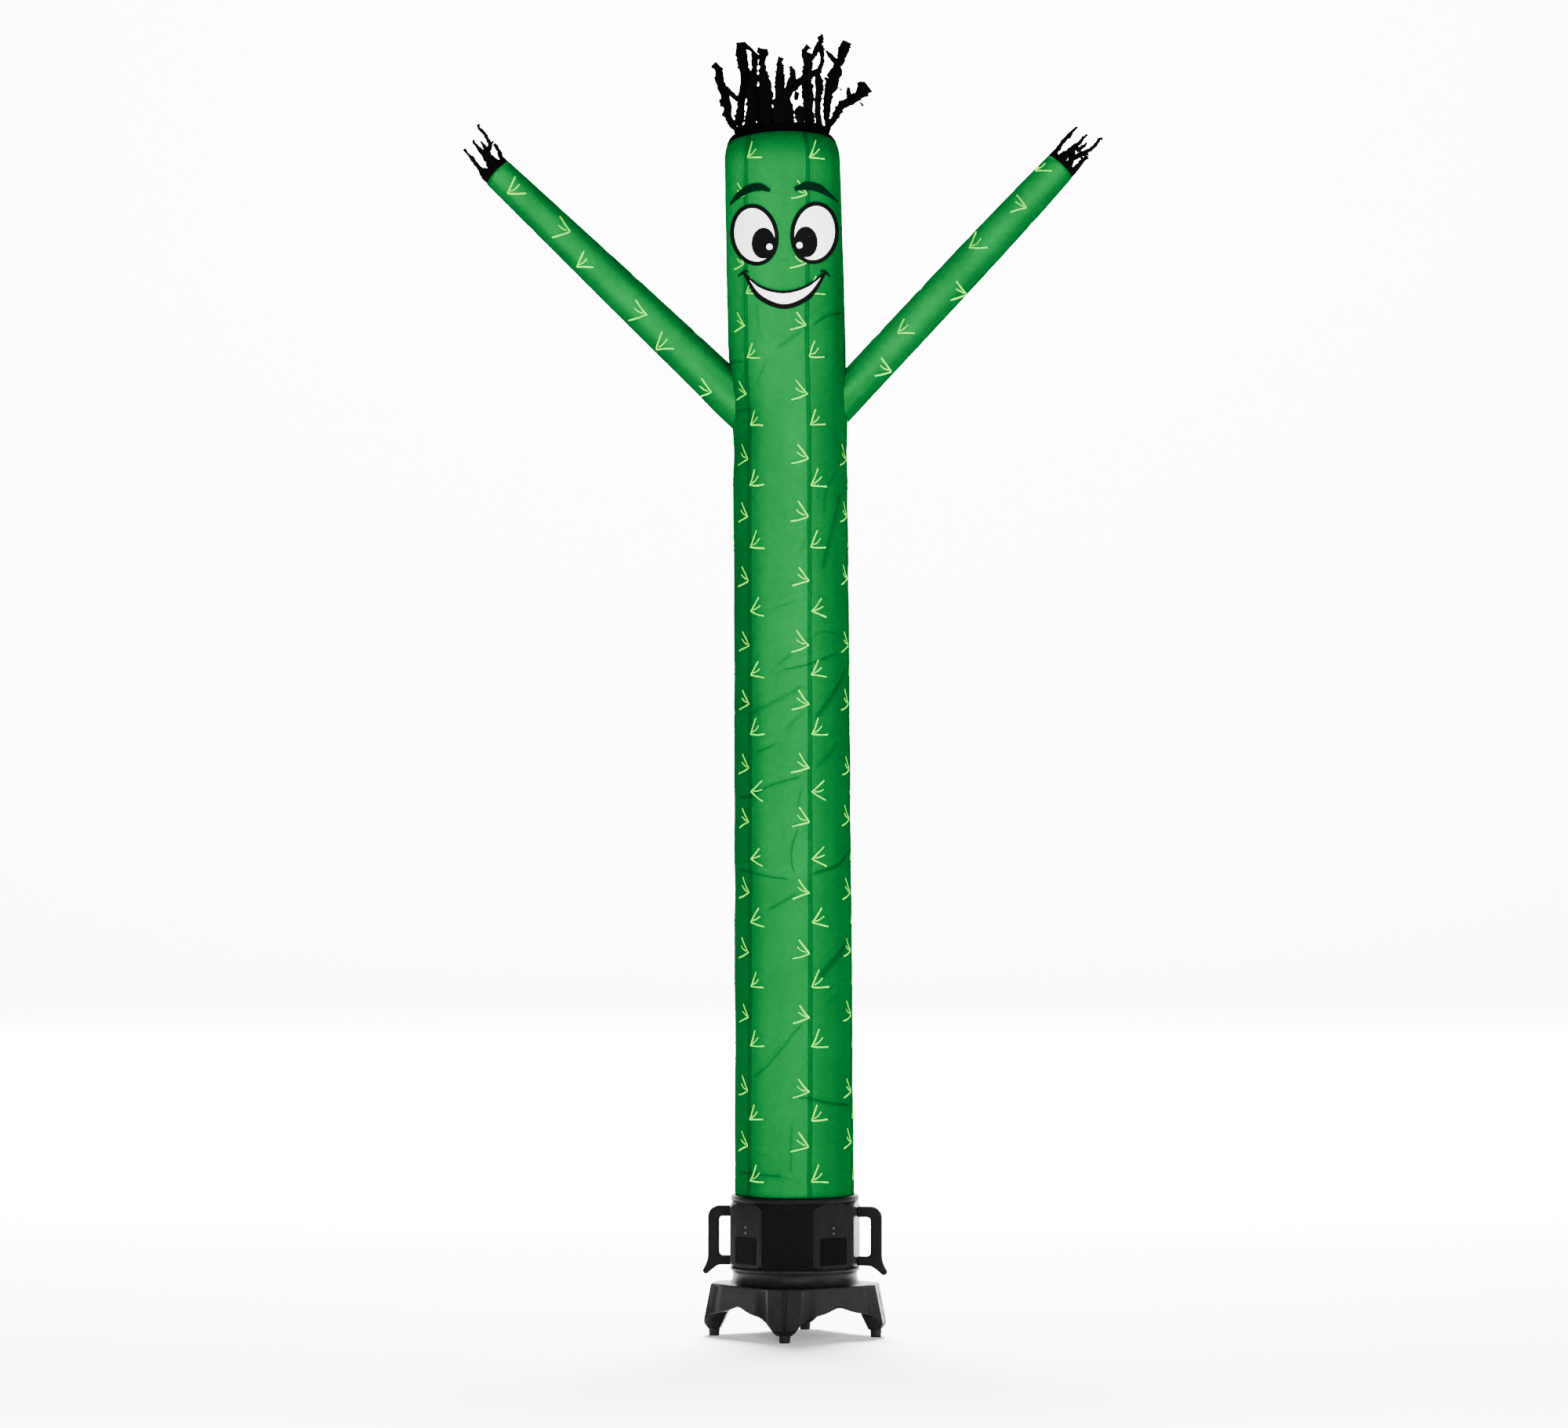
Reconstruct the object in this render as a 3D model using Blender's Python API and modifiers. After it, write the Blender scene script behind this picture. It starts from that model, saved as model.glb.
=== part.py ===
"""An inflatable air dancer on its blower, in metres, +Z up, at rest on the floor.

The blower stands on four splayed legs. Its outlet has a rim, and a collar that the hem of the tube fits
round. The tube is six gores of nylon sheet that lean a little and turn in at the head to an open vent.
Two tapered arms leave it at 43 and 47 degrees, and slashed strips make the hair and the fingers.
Everything is placed about the outlet's axis, which stands at AXIS_X, so that the origin is under the
middle of the reach of the arms. An angle "from the front" is 0 towards -Y and grows towards +X.
"""

from collections import namedtuple
from math import atan2, cos, pi, radians, sin, sqrt

import bmesh
import bpy
import numpy as np
from mathutils import Matrix, Vector

# ---- driving sizes -------------------------------------------------------------------------------

AXIS_X = 0.030  # the outlet's axis, from the middle of the arms' reach
YAW = radians(-7.2)  # the blower's front foot is turned this far towards -X
GAP = 0.0003  # between pieces that touch
WELD = 1e-5  # points nearer than this are one point
CLOTH = 0.0012  # thickness of the nylon, doubled at its seams and coated

# blower
FOOT_REACH = 0.212  # from the axis to the middle of a foot
FOOT_HEIGHT = 0.0195
FOOT_RADIUS = 0.0135
FOOT_SHOULDER = 0.0152  # its radius under the leg
BORE = 0.145  # radius of the air duct
PLATE_TOP = 0.139  # top of the plate that the legs hang from
PLATE_THICKNESS = 0.0065
FLANGE_TOP = 0.183  # the drum stands here
FLANGE_RADIUS = 0.169
WAIST_RADIUS = 0.162
DRUM_TOP = 0.3527
DRUM_APOTHEM = 0.162  # from the axis to a flat facet
DRUM_CHAMFER_RADIUS = 0.164  # where the cone that cuts the corners starts
DRUM_CHAMFER_REACH = 0.0136  # and how far out it ends
DRUM_CHAMFER = 0.0185  # its height at the top
DRUM_FOOT_CHAMFER = 0.0130
DRUM_SIDES = 8
RIM_TOP = 0.369
RIM_RADIUS = 0.1665
COLLAR_TOP = 0.396
COLLAR_RADIUS = 0.1505
TURNED_STEPS = 48

# tube
HEM_Z = RIM_TOP + GAP
SHOULDER_Z = 3.060  # the head starts to turn in
VENT_Z = 3.125
VENT_RADIUS = 0.113
VENT_TILT = 0.010  # how much higher it is at the front than at its middle
PANELS = 6
FIRST_SEAM = radians(-46.0)  # from the front
SEAM_GAP = 0.0005
SEAM_PINCH = 0.0016  # how far a seam lies in from the crown of its gore
GORE_COLUMNS = 6
TUBE_ROWS = 36
SHOULDER_ROWS = 4

# The tube at a height: lean is the x of its middle, twist how many degrees its seams are turned.
Station = namedtuple("Station", "z radius lean twist")
TUBE_STATIONS = (
    Station(0.369, 0.1562, -0.001, 0.0),
    Station(0.720, 0.1550, -0.003, 0.0),
    Station(1.100, 0.1536, -0.005, 0.4),
    Station(1.720, 0.1512, -0.008, 1.0),
    Station(2.200, 0.1512, -0.011, 2.0),
    Station(2.360, 0.1512, -0.013, 3.0),
    Station(2.580, 0.1540, -0.021, 7.0),
    Station(2.900, 0.1534, -0.029, 10.0),
    Station(3.060, 0.1515, -0.033, 11.5),
    Station(3.125, 0.1515, -0.034, 12.0),
)

# Soft troughs in the tube: where, half its size along and across, how far its long way is turned
# from level, and how deep.
Trough = namedtuple("Trough", "angle z along across turn depth")
TROUGHS = (
    Trough(-62, 2.34, 0.120, 0.045, 38, 0.0050),
    Trough(66, 2.33, 0.110, 0.045, -40, 0.0045),
    Trough(-30, 2.62, 0.110, 0.050, 20, 0.0030),
    Trough(52, 2.05, 0.150, 0.060, -35, 0.0035),
    Trough(-20, 1.78, 0.160, 0.060, 28, 0.0030),
    Trough(30, 1.42, 0.150, 0.060, -30, 0.0035),
    Trough(0, 1.19, 0.200, 0.040, 4, 0.0040),
    Trough(-35, 0.92, 0.150, 0.055, 32, 0.0030),
    Trough(45, 0.72, 0.140, 0.055, -25, 0.0035),
    Trough(-8, 0.45, 0.150, 0.035, 3, 0.0040),
    Trough(120, 2.20, 0.160, 0.060, 30, 0.0040),
    Trough(180, 2.52, 0.180, 0.060, -12, 0.0035),
    Trough(215, 1.95, 0.170, 0.060, 35, 0.0040),
    Trough(150, 1.55, 0.160, 0.060, -28, 0.0035),
    Trough(200, 1.12, 0.200, 0.045, 5, 0.0040),
    Trough(235, 0.80, 0.150, 0.055, -34, 0.0035),
    Trough(170, 0.55, 0.150, 0.050, 12, 0.0035),
)

# arms: the middle of the root on the tube's side, the middle of the hand, and the radius along it
Arm = namedtuple("Arm", "side root hand radii")
ARM_SHARES = (0.0, 0.10, 0.25, 0.45, 0.66, 0.87, 1.0)
ARMS = (
    Arm("left", (-0.168, 2.449), (-0.771, 3.024), (0.0595, 0.0573, 0.0553, 0.0522, 0.0482, 0.0442, 0.0417)),
    Arm("right", (0.139, 2.452), (0.688, 3.040), (0.0500, 0.0502, 0.0504, 0.0500, 0.0490, 0.0464, 0.0430)),
)
ARM_SIDES = 16
ARM_ROWS = 13
ARM_TAIL = 0.100  # how far an arm is drawn inside the tube before it is cut off there
ARM_CLEAR = 0.0005  # from the cut end of an arm to the tube's side

# A lock of a slashed strip: the angle and width of its root on the slashed edge, and its path as
# (to the side, up, width) from the middle of that edge.
Lock = namedtuple("Lock", "angle root path")
HAIR = (
    Lock(-101, 0.018, (
        (-0.126, 0.011, 0.024), (-0.143, 0.041, 0.019), (-0.141, 0.068, 0.019), (-0.151, 0.097, 0.018),
        (-0.162, 0.131, 0.022), (-0.160, 0.156, 0.015), (-0.175, 0.170, 0.013),
    )),
    Lock(-73, 0.022, (
        (-0.114, 0.029, 0.020), (-0.107, 0.049, 0.017), (-0.107, 0.077, 0.016), (-0.099, 0.105, 0.020),
        (-0.092, 0.131, 0.021), (-0.100, 0.159, 0.025), (-0.104, 0.189, 0.029), (-0.106, 0.223, 0.024),
    )),
    Lock(-43, 0.038, (
        (-0.078, 0.029, 0.032), (-0.074, 0.067, 0.033), (-0.078, 0.100, 0.027), (-0.076, 0.123, 0.018),
        (-0.071, 0.146, 0.011), (-0.070, 0.166, 0.016), (-0.065, 0.180, 0.026),
    )),
    Lock(-23, 0.034, (
        (-0.043, 0.031, 0.036), (-0.042, 0.067, 0.038), (-0.042, 0.100, 0.030), (-0.049, 0.126, 0.021),
        (-0.050, 0.154, 0.013), (-0.048, 0.179, 0.022), (-0.047, 0.192, 0.019),
    )),
    Lock(-5, 0.032, (
        (-0.006, 0.031, 0.036), (-0.005, 0.072, 0.027), (-0.005, 0.108, 0.024), (-0.005, 0.133, 0.017),
        (-0.006, 0.154, 0.012), (-0.001, 0.166, 0.018),
    )),
    Lock(10, 0.020, (
        (0.018, 0.031, 0.023), (0.012, 0.062, 0.018), (0.019, 0.085, 0.020), (0.028, 0.108, 0.022),
        (0.029, 0.128, 0.013), (0.022, 0.145, 0.004),
    )),
    Lock(23, 0.024, ((0.046, 0.026, 0.028), (0.051, 0.041, 0.015))),
    Lock(38, 0.024, (
        (0.070, 0.021, 0.023), (0.069, 0.062, 0.023), (0.065, 0.092, 0.031), (0.063, 0.123, 0.023),
        (0.068, 0.151, 0.024), (0.064, 0.177, 0.026), (0.058, 0.189, 0.015), (0.070, 0.202, 0.013),
    )),
    Lock(53, 0.018, (
        (0.094, 0.016, 0.016), (0.093, 0.046, 0.014), (0.094, 0.077, 0.014), (0.095, 0.103, 0.016),
        (0.092, 0.133, 0.013), (0.105, 0.164, 0.009), (0.104, 0.189, 0.010), (0.097, 0.208, 0.013),
        (0.104, 0.236, 0.006),
    )),
    Lock(76, 0.020, (
        (0.117, 0.021, 0.017), (0.116, 0.057, 0.018), (0.119, 0.087, 0.021), (0.132, 0.115, 0.033),
        (0.138, 0.141, 0.033), (0.144, 0.161, 0.021), (0.155, 0.184, 0.021), (0.161, 0.208, 0.029),
        (0.169, 0.226, 0.021),
    )),
    Lock(99, 0.018, (
        (0.123, 0.011, 0.015), (0.132, 0.026, 0.014), (0.146, 0.049, 0.020), (0.156, 0.069, 0.022),
        (0.181, 0.078, 0.021), (0.199, 0.090, 0.018), (0.211, 0.111, 0.030), (0.222, 0.118, 0.023),
    )),
    Lock(113, 0.013, ((0.117, 0.030, 0.013), (0.118, 0.070, 0.014), (0.125, 0.100, 0.017))),
    Lock(127, 0.014, ((0.094, 0.030, 0.012), (0.094, 0.070, 0.011), (0.094, 0.110, 0.010))),
    Lock(142, 0.022, (
        (0.070, 0.030, 0.020), (0.068, 0.070, 0.020), (0.065, 0.100, 0.022), (0.066, 0.140, 0.018),
    )),
    Lock(157, 0.022, ((0.046, 0.022, 0.024), (0.050, 0.036, 0.012))),
    Lock(171, 0.020, ((0.017, 0.030, 0.022), (0.012, 0.055, 0.014))),
    Lock(187, 0.026, ((-0.010, 0.030, 0.026), (-0.006, 0.070, 0.020), (-0.005, 0.110, 0.016))),
    Lock(205, 0.030, (
        (-0.044, 0.030, 0.030), (-0.042, 0.070, 0.030), (-0.043, 0.100, 0.024), (-0.049, 0.126, 0.014),
        (-0.048, 0.160, 0.010),
    )),
    Lock(223, 0.028, (
        (-0.078, 0.030, 0.026), (-0.076, 0.070, 0.024), (-0.077, 0.100, 0.020), (-0.075, 0.123, 0.012),
    )),
    Lock(243, 0.020, (
        (-0.108, 0.030, 0.016), (-0.107, 0.070, 0.014), (-0.098, 0.108, 0.014), (-0.099, 0.156, 0.018),
        (-0.104, 0.200, 0.016),
    )),
)
HAIR_RADIUS = 0.1175  # of the band's top, where it is slashed
HAIR_BAND = 0.014  # height of the band above the vent
HAIR_LAP = 42  # the band laps down over the head's sides, to this far round its turn in degrees
HAIR_LAP_LESS = 44  # and this much less at the front and the back
HAIR_CLEAR = 0.0026  # from the head to the band's outer face
FINGERS = {
    "left": (
        Lock(-44, 0.034, (
            (-0.025, 0.023, 0.011), (-0.021, 0.046, 0.009), (-0.019, 0.056, 0.009), (-0.019, 0.064, 0.005),
            (-0.018, 0.073, 0.005), (-0.017, 0.084, 0.006),
        )),
        Lock(-4, 0.020, (
            (0.001, 0.012, 0.013), (0.008, 0.036, 0.011), (0.011, 0.053, 0.009), (0.012, 0.066, 0.006),
            (0.013, 0.075, 0.004), (0.017, 0.083, 0.005),
        )),
        Lock(25, 0.018, (
            (0.015, 0.010, 0.014), (0.015, 0.024, 0.013), (0.021, 0.034, 0.013), (0.033, 0.039, 0.010),
            (0.040, 0.045, 0.008), (0.044, 0.056, 0.008), (0.048, 0.068, 0.007), (0.049, 0.081, 0.007),
            (0.049, 0.093, 0.006), (0.056, 0.101, 0.005),
        )),
        Lock(62, 0.022, (
            (0.037, 0.004, 0.012), (0.041, 0.010, 0.009), (0.043, 0.018, 0.007), (0.046, 0.028, 0.008),
            (0.048, 0.038, 0.007),
        )),
        Lock(118, 0.018, ((0.036, 0.006, 0.012), (0.041, 0.018, 0.007))),
        Lock(160, 0.020, ((0.013, 0.008, 0.014), (0.011, 0.022, 0.010))),
        Lock(200, 0.018, ((-0.016, 0.010, 0.009), (-0.015, 0.019, 0.005))),
        Lock(238, 0.020, ((-0.031, 0.008, 0.012), (-0.026, 0.020, 0.008))),
    ),
    "right": (
        Lock(-62, 0.030, (
            (-0.037, 0.017, 0.012), (-0.039, 0.028, 0.008), (-0.039, 0.040, 0.008), (-0.037, 0.054, 0.011),
            (-0.039, 0.067, 0.006), (-0.039, 0.075, 0.004), (-0.037, 0.085, 0.003),
        )),
        Lock(-16, 0.026, (
            (-0.009, 0.014, 0.018), (-0.009, 0.029, 0.014), (-0.007, 0.044, 0.010), (-0.005, 0.059, 0.008),
            (-0.007, 0.073, 0.005), (-0.005, 0.087, 0.003),
        )),
        Lock(14, 0.017, (
            (0.009, 0.017, 0.014), (0.015, 0.030, 0.012), (0.021, 0.043, 0.009), (0.026, 0.059, 0.007),
            (0.029, 0.072, 0.007), (0.029, 0.086, 0.007), (0.026, 0.098, 0.007), (0.031, 0.106, 0.006),
        )),
        Lock(50, 0.020, (
            (0.033, 0.017, 0.012), (0.032, 0.029, 0.009), (0.033, 0.037, 0.008), (0.037, 0.046, 0.006),
        )),
        Lock(118, 0.018, ((0.035, 0.014, 0.010), (0.033, 0.029, 0.006))),
        Lock(160, 0.020, ((0.013, 0.010, 0.012), (0.010, 0.021, 0.008))),
        Lock(197, 0.018, ((-0.011, 0.017, 0.012), (-0.010, 0.033, 0.008))),
        Lock(237, 0.018, ((-0.037, 0.014, 0.008), (-0.038, 0.026, 0.006))),
    ),
}
FINGER_BAND = 0.022
HAND_SLANT = 0.0070  # how much longer an arm is at its front than in its middle
LOCK_FLARE = 0.010  # how far a lock's tip leans away from the middle
LOCK_STAGGER = 0.004  # every other lock stands this far out, and the rest as far in

# base: an outline of four short sides, the faces of the legs, and four long ones between them
LEG_REACH = 0.215  # from the axis to a leg's face, at the plate's top
LEG_SPLAY = 0.200  # how far the face runs out for each metre down
PANEL_REACH = 0.1835
PANEL_SPLAY = 0.120
PANEL_WALL = 0.0060
LEG_WAIST_Z = 0.092  # the inner side of a leg slopes up to here
LEG_INNER_REACH = 0.160
EDGE = 0.0030
# The lower edge from the middle of a leg to the middle of a panel: how far along either of them, its
# height, the cut of its outer corner and how deep the wall is there.
ArchPoint = namedtuple("ArchPoint", "part share z corner depth")
ARCH = (
    ArchPoint("leg", 0.00, FOOT_HEIGHT + GAP, 0.0100, 0.042),
    ArchPoint("leg", 0.53, FOOT_HEIGHT + GAP, 0.0100, 0.042),
    ArchPoint("leg", 0.80, 0.0330, 0.0050, 0.030),
    ArchPoint("leg", 1.00, 0.0440, 0.0015, 0.018),
    ArchPoint("panel", 0.12, 0.0550, 0.0015, 0.0),
    ArchPoint("panel", 0.27, 0.0635, 0.0015, 0.0),
    ArchPoint("panel", 0.59, 0.0700, 0.0015, 0.0),
    ArchPoint("panel", 0.85, 0.0800, 0.0015, 0.0),
    ArchPoint("panel", 1.00, 0.0850, 0.0015, 0.0),
)

# handles: outline in the plane through the axis, from the axis outwards and upwards
HANDLE_REACH = 0.227
HANDLE_TOP = 0.338
HANDLE_FOOT = 0.1850
HANDLE_BAR = 0.0255
HANDLE_ARM = 0.0235  # height of its upper and lower bars
HANDLE_ROUND = 0.024
HANDLE_TAIL = Vector((0.2365, 0.1680))  # middle of the rounded end of the tail
HANDLE_TAIL_RADIUS = 0.0065
HANDLE_DEPTH = 0.024
HANDLE_EDGE = 0.003

# label plates, on the two facets beside the front one
LABEL_WIDTH = 0.085
LABEL_HEIGHT = 0.070
LABEL_MIDDLE_Z = 0.229
LABEL_THICKNESS = 0.0012
LABEL_CORNER = 0.003

# ---- helpers -------------------------------------------------------------------------------------


def clear_scene():
    for old in list(bpy.data.objects):
        bpy.data.objects.remove(old)


def new_collection(name, shown=True):
    collection = bpy.data.collections.new(name)
    collection.hide_render = not shown
    bpy.context.scene.collection.children.link(collection)
    return collection


def new_material(name, colour, roughness, metallic=0.0):
    material = bpy.data.materials.new(name)
    material.use_nodes = True
    shader = material.node_tree.nodes["Principled BSDF"]
    shader.inputs["Base Color"].default_value = (*colour, 1.0)
    shader.inputs["Roughness"].default_value = roughness
    shader.inputs["Metallic"].default_value = metallic
    return material


def add_grid(bm, columns, rows, place):
    """A grid of faces in bm, each point put where place(column, row) says."""
    made = bmesh.ops.create_grid(bm, x_segments=columns, y_segments=rows, size=0.5)
    for vert in made["verts"]:
        column = round((vert.co.x + 0.5) * columns)
        row = round((vert.co.y + 0.5) * rows)
        vert.co = place(column, row)


def new_object(name, bm, material, closed):
    """bm as an object about the outlet's axis. Grids that meet are joined into one surface."""
    bmesh.ops.remove_doubles(bm, verts=bm.verts, dist=WELD)
    if closed:
        bmesh.ops.recalc_face_normals(bm, faces=bm.faces)
    mesh = bpy.data.meshes.new(name)
    bm.to_mesh(mesh)
    bm.free()
    obj = bpy.data.objects.new(name, mesh)
    obj.parent = stand
    if material is None:
        cutters.objects.link(obj)
        obj.hide_render = True
        obj.display_type = "WIRE"
    else:
        parts.objects.link(obj)
        mesh.materials.append(material)
    return obj


def grid_object(name, columns, rows, place, material, closed=False):
    bm = bmesh.new()
    add_grid(bm, columns, rows, place)
    return new_object(name, bm, material, closed)


def thicken(obj, thickness, even=True):
    """Gives an open surface its thickness, on the side that its normals point away from."""
    solidify = obj.modifiers.new("thickness", "SOLIDIFY")
    solidify.thickness = thickness
    solidify.offset = -1.0
    solidify.use_even_offset = even


def cut(obj, cutter, operation="DIFFERENCE"):
    boolean = obj.modifiers.new(cutter.name, "BOOLEAN")
    boolean.operation = operation
    boolean.object = cutter


def bevel(obj, width, segments=2, angle=radians(30)):
    edges = obj.modifiers.new("edges", "BEVEL")
    edges.width = width
    edges.segments = segments
    edges.limit_method = "ANGLE"
    edges.angle_limit = angle


def turned(name, profile, material):
    """A ring turned about the axis. The profile goes down its outer side and up its inner side."""
    bm = bmesh.new()
    verts = [bm.verts.new((radius, 0.0, z)) for radius, z in profile]
    for here, there in zip(verts, verts[1:] + verts[:1]):
        bm.edges.new((here, there))
    obj = new_object(name, bm, material, closed=False)
    screw = obj.modifiers.new("turn", "SCREW")
    screw.steps = TURNED_STEPS
    screw.render_steps = TURNED_STEPS
    screw.use_merge_vertices = True
    screw.merge_threshold = WELD
    return obj


def around(angle):
    """The direction at this angle from the front."""
    return Vector((sin(angle), -cos(angle), 0.0))


# ---- the tube ------------------------------------------------------------------------------------


def tube_row(row):
    """(height, turn of the head towards the vent) of a row of points, from the hem to the vent."""
    if row <= TUBE_ROWS:
        return HEM_Z + (SHOULDER_Z - HEM_Z) * row / TUBE_ROWS, 0.0
    return SHOULDER_Z, radians(90) * (row - TUBE_ROWS) / SHOULDER_ROWS


def trough_depth(angle, z, radius):
    depth = 0.0
    for trough in TROUGHS:
        off = (angle - radians(trough.angle) + pi) % (2 * pi) - pi
        level = off * radius
        up = z - trough.z
        turn = radians(trough.turn)
        along = level * cos(turn) + up * sin(turn)
        across = up * cos(turn) - level * sin(turn)
        reach = (along / trough.along) ** 2 + (across / trough.across) ** 2
        depth += trough.depth * np.exp(-reach)
    return depth


def tube_middle(z):
    return Vector((np.interp(z, *STATION_Z_LEAN), 0.0, z))


def tube_twist(z):
    return radians(np.interp(z, *STATION_Z_TWIST))


def tube_point(angle, z, turn=0.0, away=0.0):
    """A point on the tube, or off it along its normal. Above the shoulder it is placed by its turn."""
    radius = np.interp(z, *STATION_Z_RADIUS)
    gore = 2 * pi / PANELS
    pinch = SEAM_PINCH * (1 + cos((angle - FIRST_SEAM - tube_twist(z)) / gore * 2 * pi)) / 2
    radius -= pinch + trough_depth(angle, z, radius)
    inwards = radius - VENT_RADIUS
    rise = VENT_Z - SHOULDER_Z
    normal = Vector((rise * cos(turn), inwards * sin(turn))).normalized()
    radius += normal.x * away - inwards * (1 - cos(turn))
    height = z + rise * sin(turn) + VENT_TILT * cos(angle) * (1 - cos(turn)) + normal.y * away
    middle = tube_middle(height)
    return middle + around(angle) * radius


def make_panel(number, material, bores):
    """One gore, between two seams, with the armholes cut in it."""
    gore = 2 * pi / PANELS
    trim = SEAM_GAP / 2 / TUBE_STATIONS[0].radius
    start = FIRST_SEAM + gore * number + trim
    step = (gore - 2 * trim) / GORE_COLUMNS

    def place(column, row):
        z, turn = tube_row(row)
        return tube_point(start + step * column + tube_twist(z), z, turn)

    panel = grid_object(f"panel_{number + 1}", GORE_COLUMNS, TUBE_ROWS + SHOULDER_ROWS, place, material)
    thicken(panel, CLOTH)
    middle = start + gore / 2
    for arm, bore in zip(ARMS, bores):
        armhole = radians(90 if arm.side == "right" else 270)
        off = (armhole - middle + pi) % (2 * pi) - pi
        if abs(off) < gore:
            cut(panel, bore)
    return panel


def make_tube_cutter():
    """The whole tube as a solid, a little larger than the cloth, which cuts off the arms at its side."""
    sides = PANELS * GORE_COLUMNS
    rows = TUBE_ROWS + SHOULDER_ROWS

    def place(column, row):
        z, turn = tube_row(row)
        return tube_point(FIRST_SEAM + 2 * pi * column / sides + tube_twist(z), z, turn, ARM_CLEAR)

    bm = bmesh.new()
    add_grid(bm, sides, rows, place)
    bmesh.ops.remove_doubles(bm, verts=bm.verts, dist=WELD)
    bmesh.ops.holes_fill(bm, edges=bm.edges)
    return new_object("tube_space", bm, None, closed=True)


# ---- the arms ------------------------------------------------------------------------------------


class Limb:
    """The straight line of an arm, from its root to its hand, with a direction to each side of it."""

    def __init__(self, arm):
        self.arm = arm
        self.root = Vector((arm.root[0], 0.0, arm.root[1]))
        line = Vector((arm.hand[0], 0.0, arm.hand[1])) - self.root
        self.length = line.length
        self.along = line.normalized()
        self.side = Vector((0, 1, 0)).cross(self.along)

    def radius(self, distance):
        return np.interp(distance / self.length, ARM_SHARES, self.arm.radii)

    def point(self, angle, distance, inwards=0.0):
        out = self.side * sin(angle) - Vector((0, 1, 0)) * cos(angle)
        return self.root + self.along * distance + out * (self.radius(distance) - inwards)


def make_arm(limb, material, tube_space):
    def place(column, row):
        share = row / ARM_ROWS
        angle = 2 * pi * column / ARM_SIDES
        distance = -ARM_TAIL + (limb.length + ARM_TAIL) * share + HAND_SLANT * cos(angle) * share**3
        return limb.point(angle, distance)

    arm = grid_object(f"arm_{limb.arm.side}", ARM_SIDES, ARM_ROWS, place, material)
    thicken(arm, CLOTH)
    cut(arm, tube_space)
    return arm


def make_bore(limb):
    """The space inside an arm's root, which cuts the armhole."""

    def place(column, row):
        return limb.point(2 * pi * column / ARM_SIDES, ARM_TAIL * (2 * row - 1), inwards=CLOTH)

    bm = bmesh.new()
    add_grid(bm, ARM_SIDES, 1, place)
    bmesh.ops.remove_doubles(bm, verts=bm.verts, dist=WELD)
    bmesh.ops.holes_fill(bm, edges=bm.edges)
    return new_object(f"bore_{limb.arm.side}", bm, None, closed=True)


# ---- slashed strips ------------------------------------------------------------------------------


class Ring:
    """A circle round which a strip stands, the way it faces, and its side and back directions."""

    def __init__(self, middle, along, side, back, radius):
        self.middle = middle
        self.along = along
        self.side = side
        self.back = back
        self.radius = radius

    def out(self, angle):
        return self.side * sin(angle) - self.back * cos(angle)

    def point(self, angle):
        return self.middle + self.out(angle) * self.radius


def lock_point(ring, lock, number, edge, row):
    """A point on one of a lock's two edges, edge 0 or 1: it leaves the band and turns to face ahead."""
    angle = radians(lock.angle)
    hand = 2 * edge - 1
    if row == 0:
        return ring.point(angle + hand * lock.root / 2 / ring.radius)
    side, up, width = lock.path[row - 1]
    before = lock.path[row - 2] if row > 1 else (ring.radius * sin(angle), 0.0)
    after = lock.path[min(row, len(lock.path) - 1)]
    way = Vector((after[0] - before[0], after[1] - before[1])).normalized()
    across = (ring.side * way.y - ring.along * way.x) * (1 if cos(angle) > 0 else -1)
    if row == 1:
        across = (across + ring.side * cos(angle) + ring.back * sin(angle)).normalized()
    depth = ring.radius + LOCK_FLARE * row / len(lock.path) + LOCK_STAGGER * (-1) ** number
    straight = ring.back - ring.along * ring.back.dot(ring.along)
    middle = ring.middle + ring.side * side + ring.along * up - straight * cos(angle) * depth
    return middle + across * hand * width / 2


def band_point(ring, band, angle, row):
    """A point of the band: on the ring in its last row, and before it where band says."""
    if row == len(band):
        return ring.point(angle)
    return band[row](angle)


def make_fringe(name, ring, locks, band, material):
    """A band up to the ring and locks beyond it that stand apart.

    Each entry of band is a function that places one row of the band at an angle.
    """
    edges = []
    for lock in locks:
        half = lock.root / 2 / ring.radius
        edges += [radians(lock.angle) - half, radians(lock.angle) + half]
    edges.append(edges[0] + 2 * pi)
    bm = bmesh.new()
    add_grid(bm, len(edges) - 1, len(band), lambda column, row: band_point(ring, band, edges[column], row))
    for number, lock in enumerate(locks):
        add_grid(bm, 1, len(lock.path), lambda edge, row: lock_point(ring, lock, number, edge, row))
    fringe = new_object(name, bm, material, closed=False)
    thicken(fringe, CLOTH, even=False)
    return fringe


def make_hair(material):
    """Slashed strips on a band that stands round the vent and laps down over the head."""
    along = Vector((0, VENT_TILT / VENT_RADIUS, 1)).normalized()
    vent = tube_middle(VENT_Z)
    right = Vector((1, 0, 0))
    top = Ring(vent + along * HAIR_BAND, along, right, right.cross(-along), HAIR_RADIUS)

    def lap(share):
        def place(angle):
            start = HAIR_LAP + HAIR_LAP_LESS * abs(cos(angle))
            return tube_point(angle, SHOULDER_Z, radians(start + (90 - start) * share), HAIR_CLEAR)

        return place

    make_fringe("hair_fringe", top, HAIR, [lap(0), lap(0.35), lap(0.7), lap(1)], material)


def make_fingers(limb, material):
    """Slashed strips on a short band at the end of an arm."""
    radius = limb.radius(limb.length)
    back = Vector((0, 1, 0))
    wrist = limb.root + limb.along * (limb.length + GAP)
    hand = Ring(wrist, limb.along, limb.side, back - limb.along * (HAND_SLANT / radius), radius)
    slashed = Ring(wrist + limb.along * FINGER_BAND, limb.along, limb.side, back, radius)
    name = f"hand_fringe_{limb.arm.side}"
    make_fringe(name, slashed, FINGERS[limb.arm.side], [hand.point], material)


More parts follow.
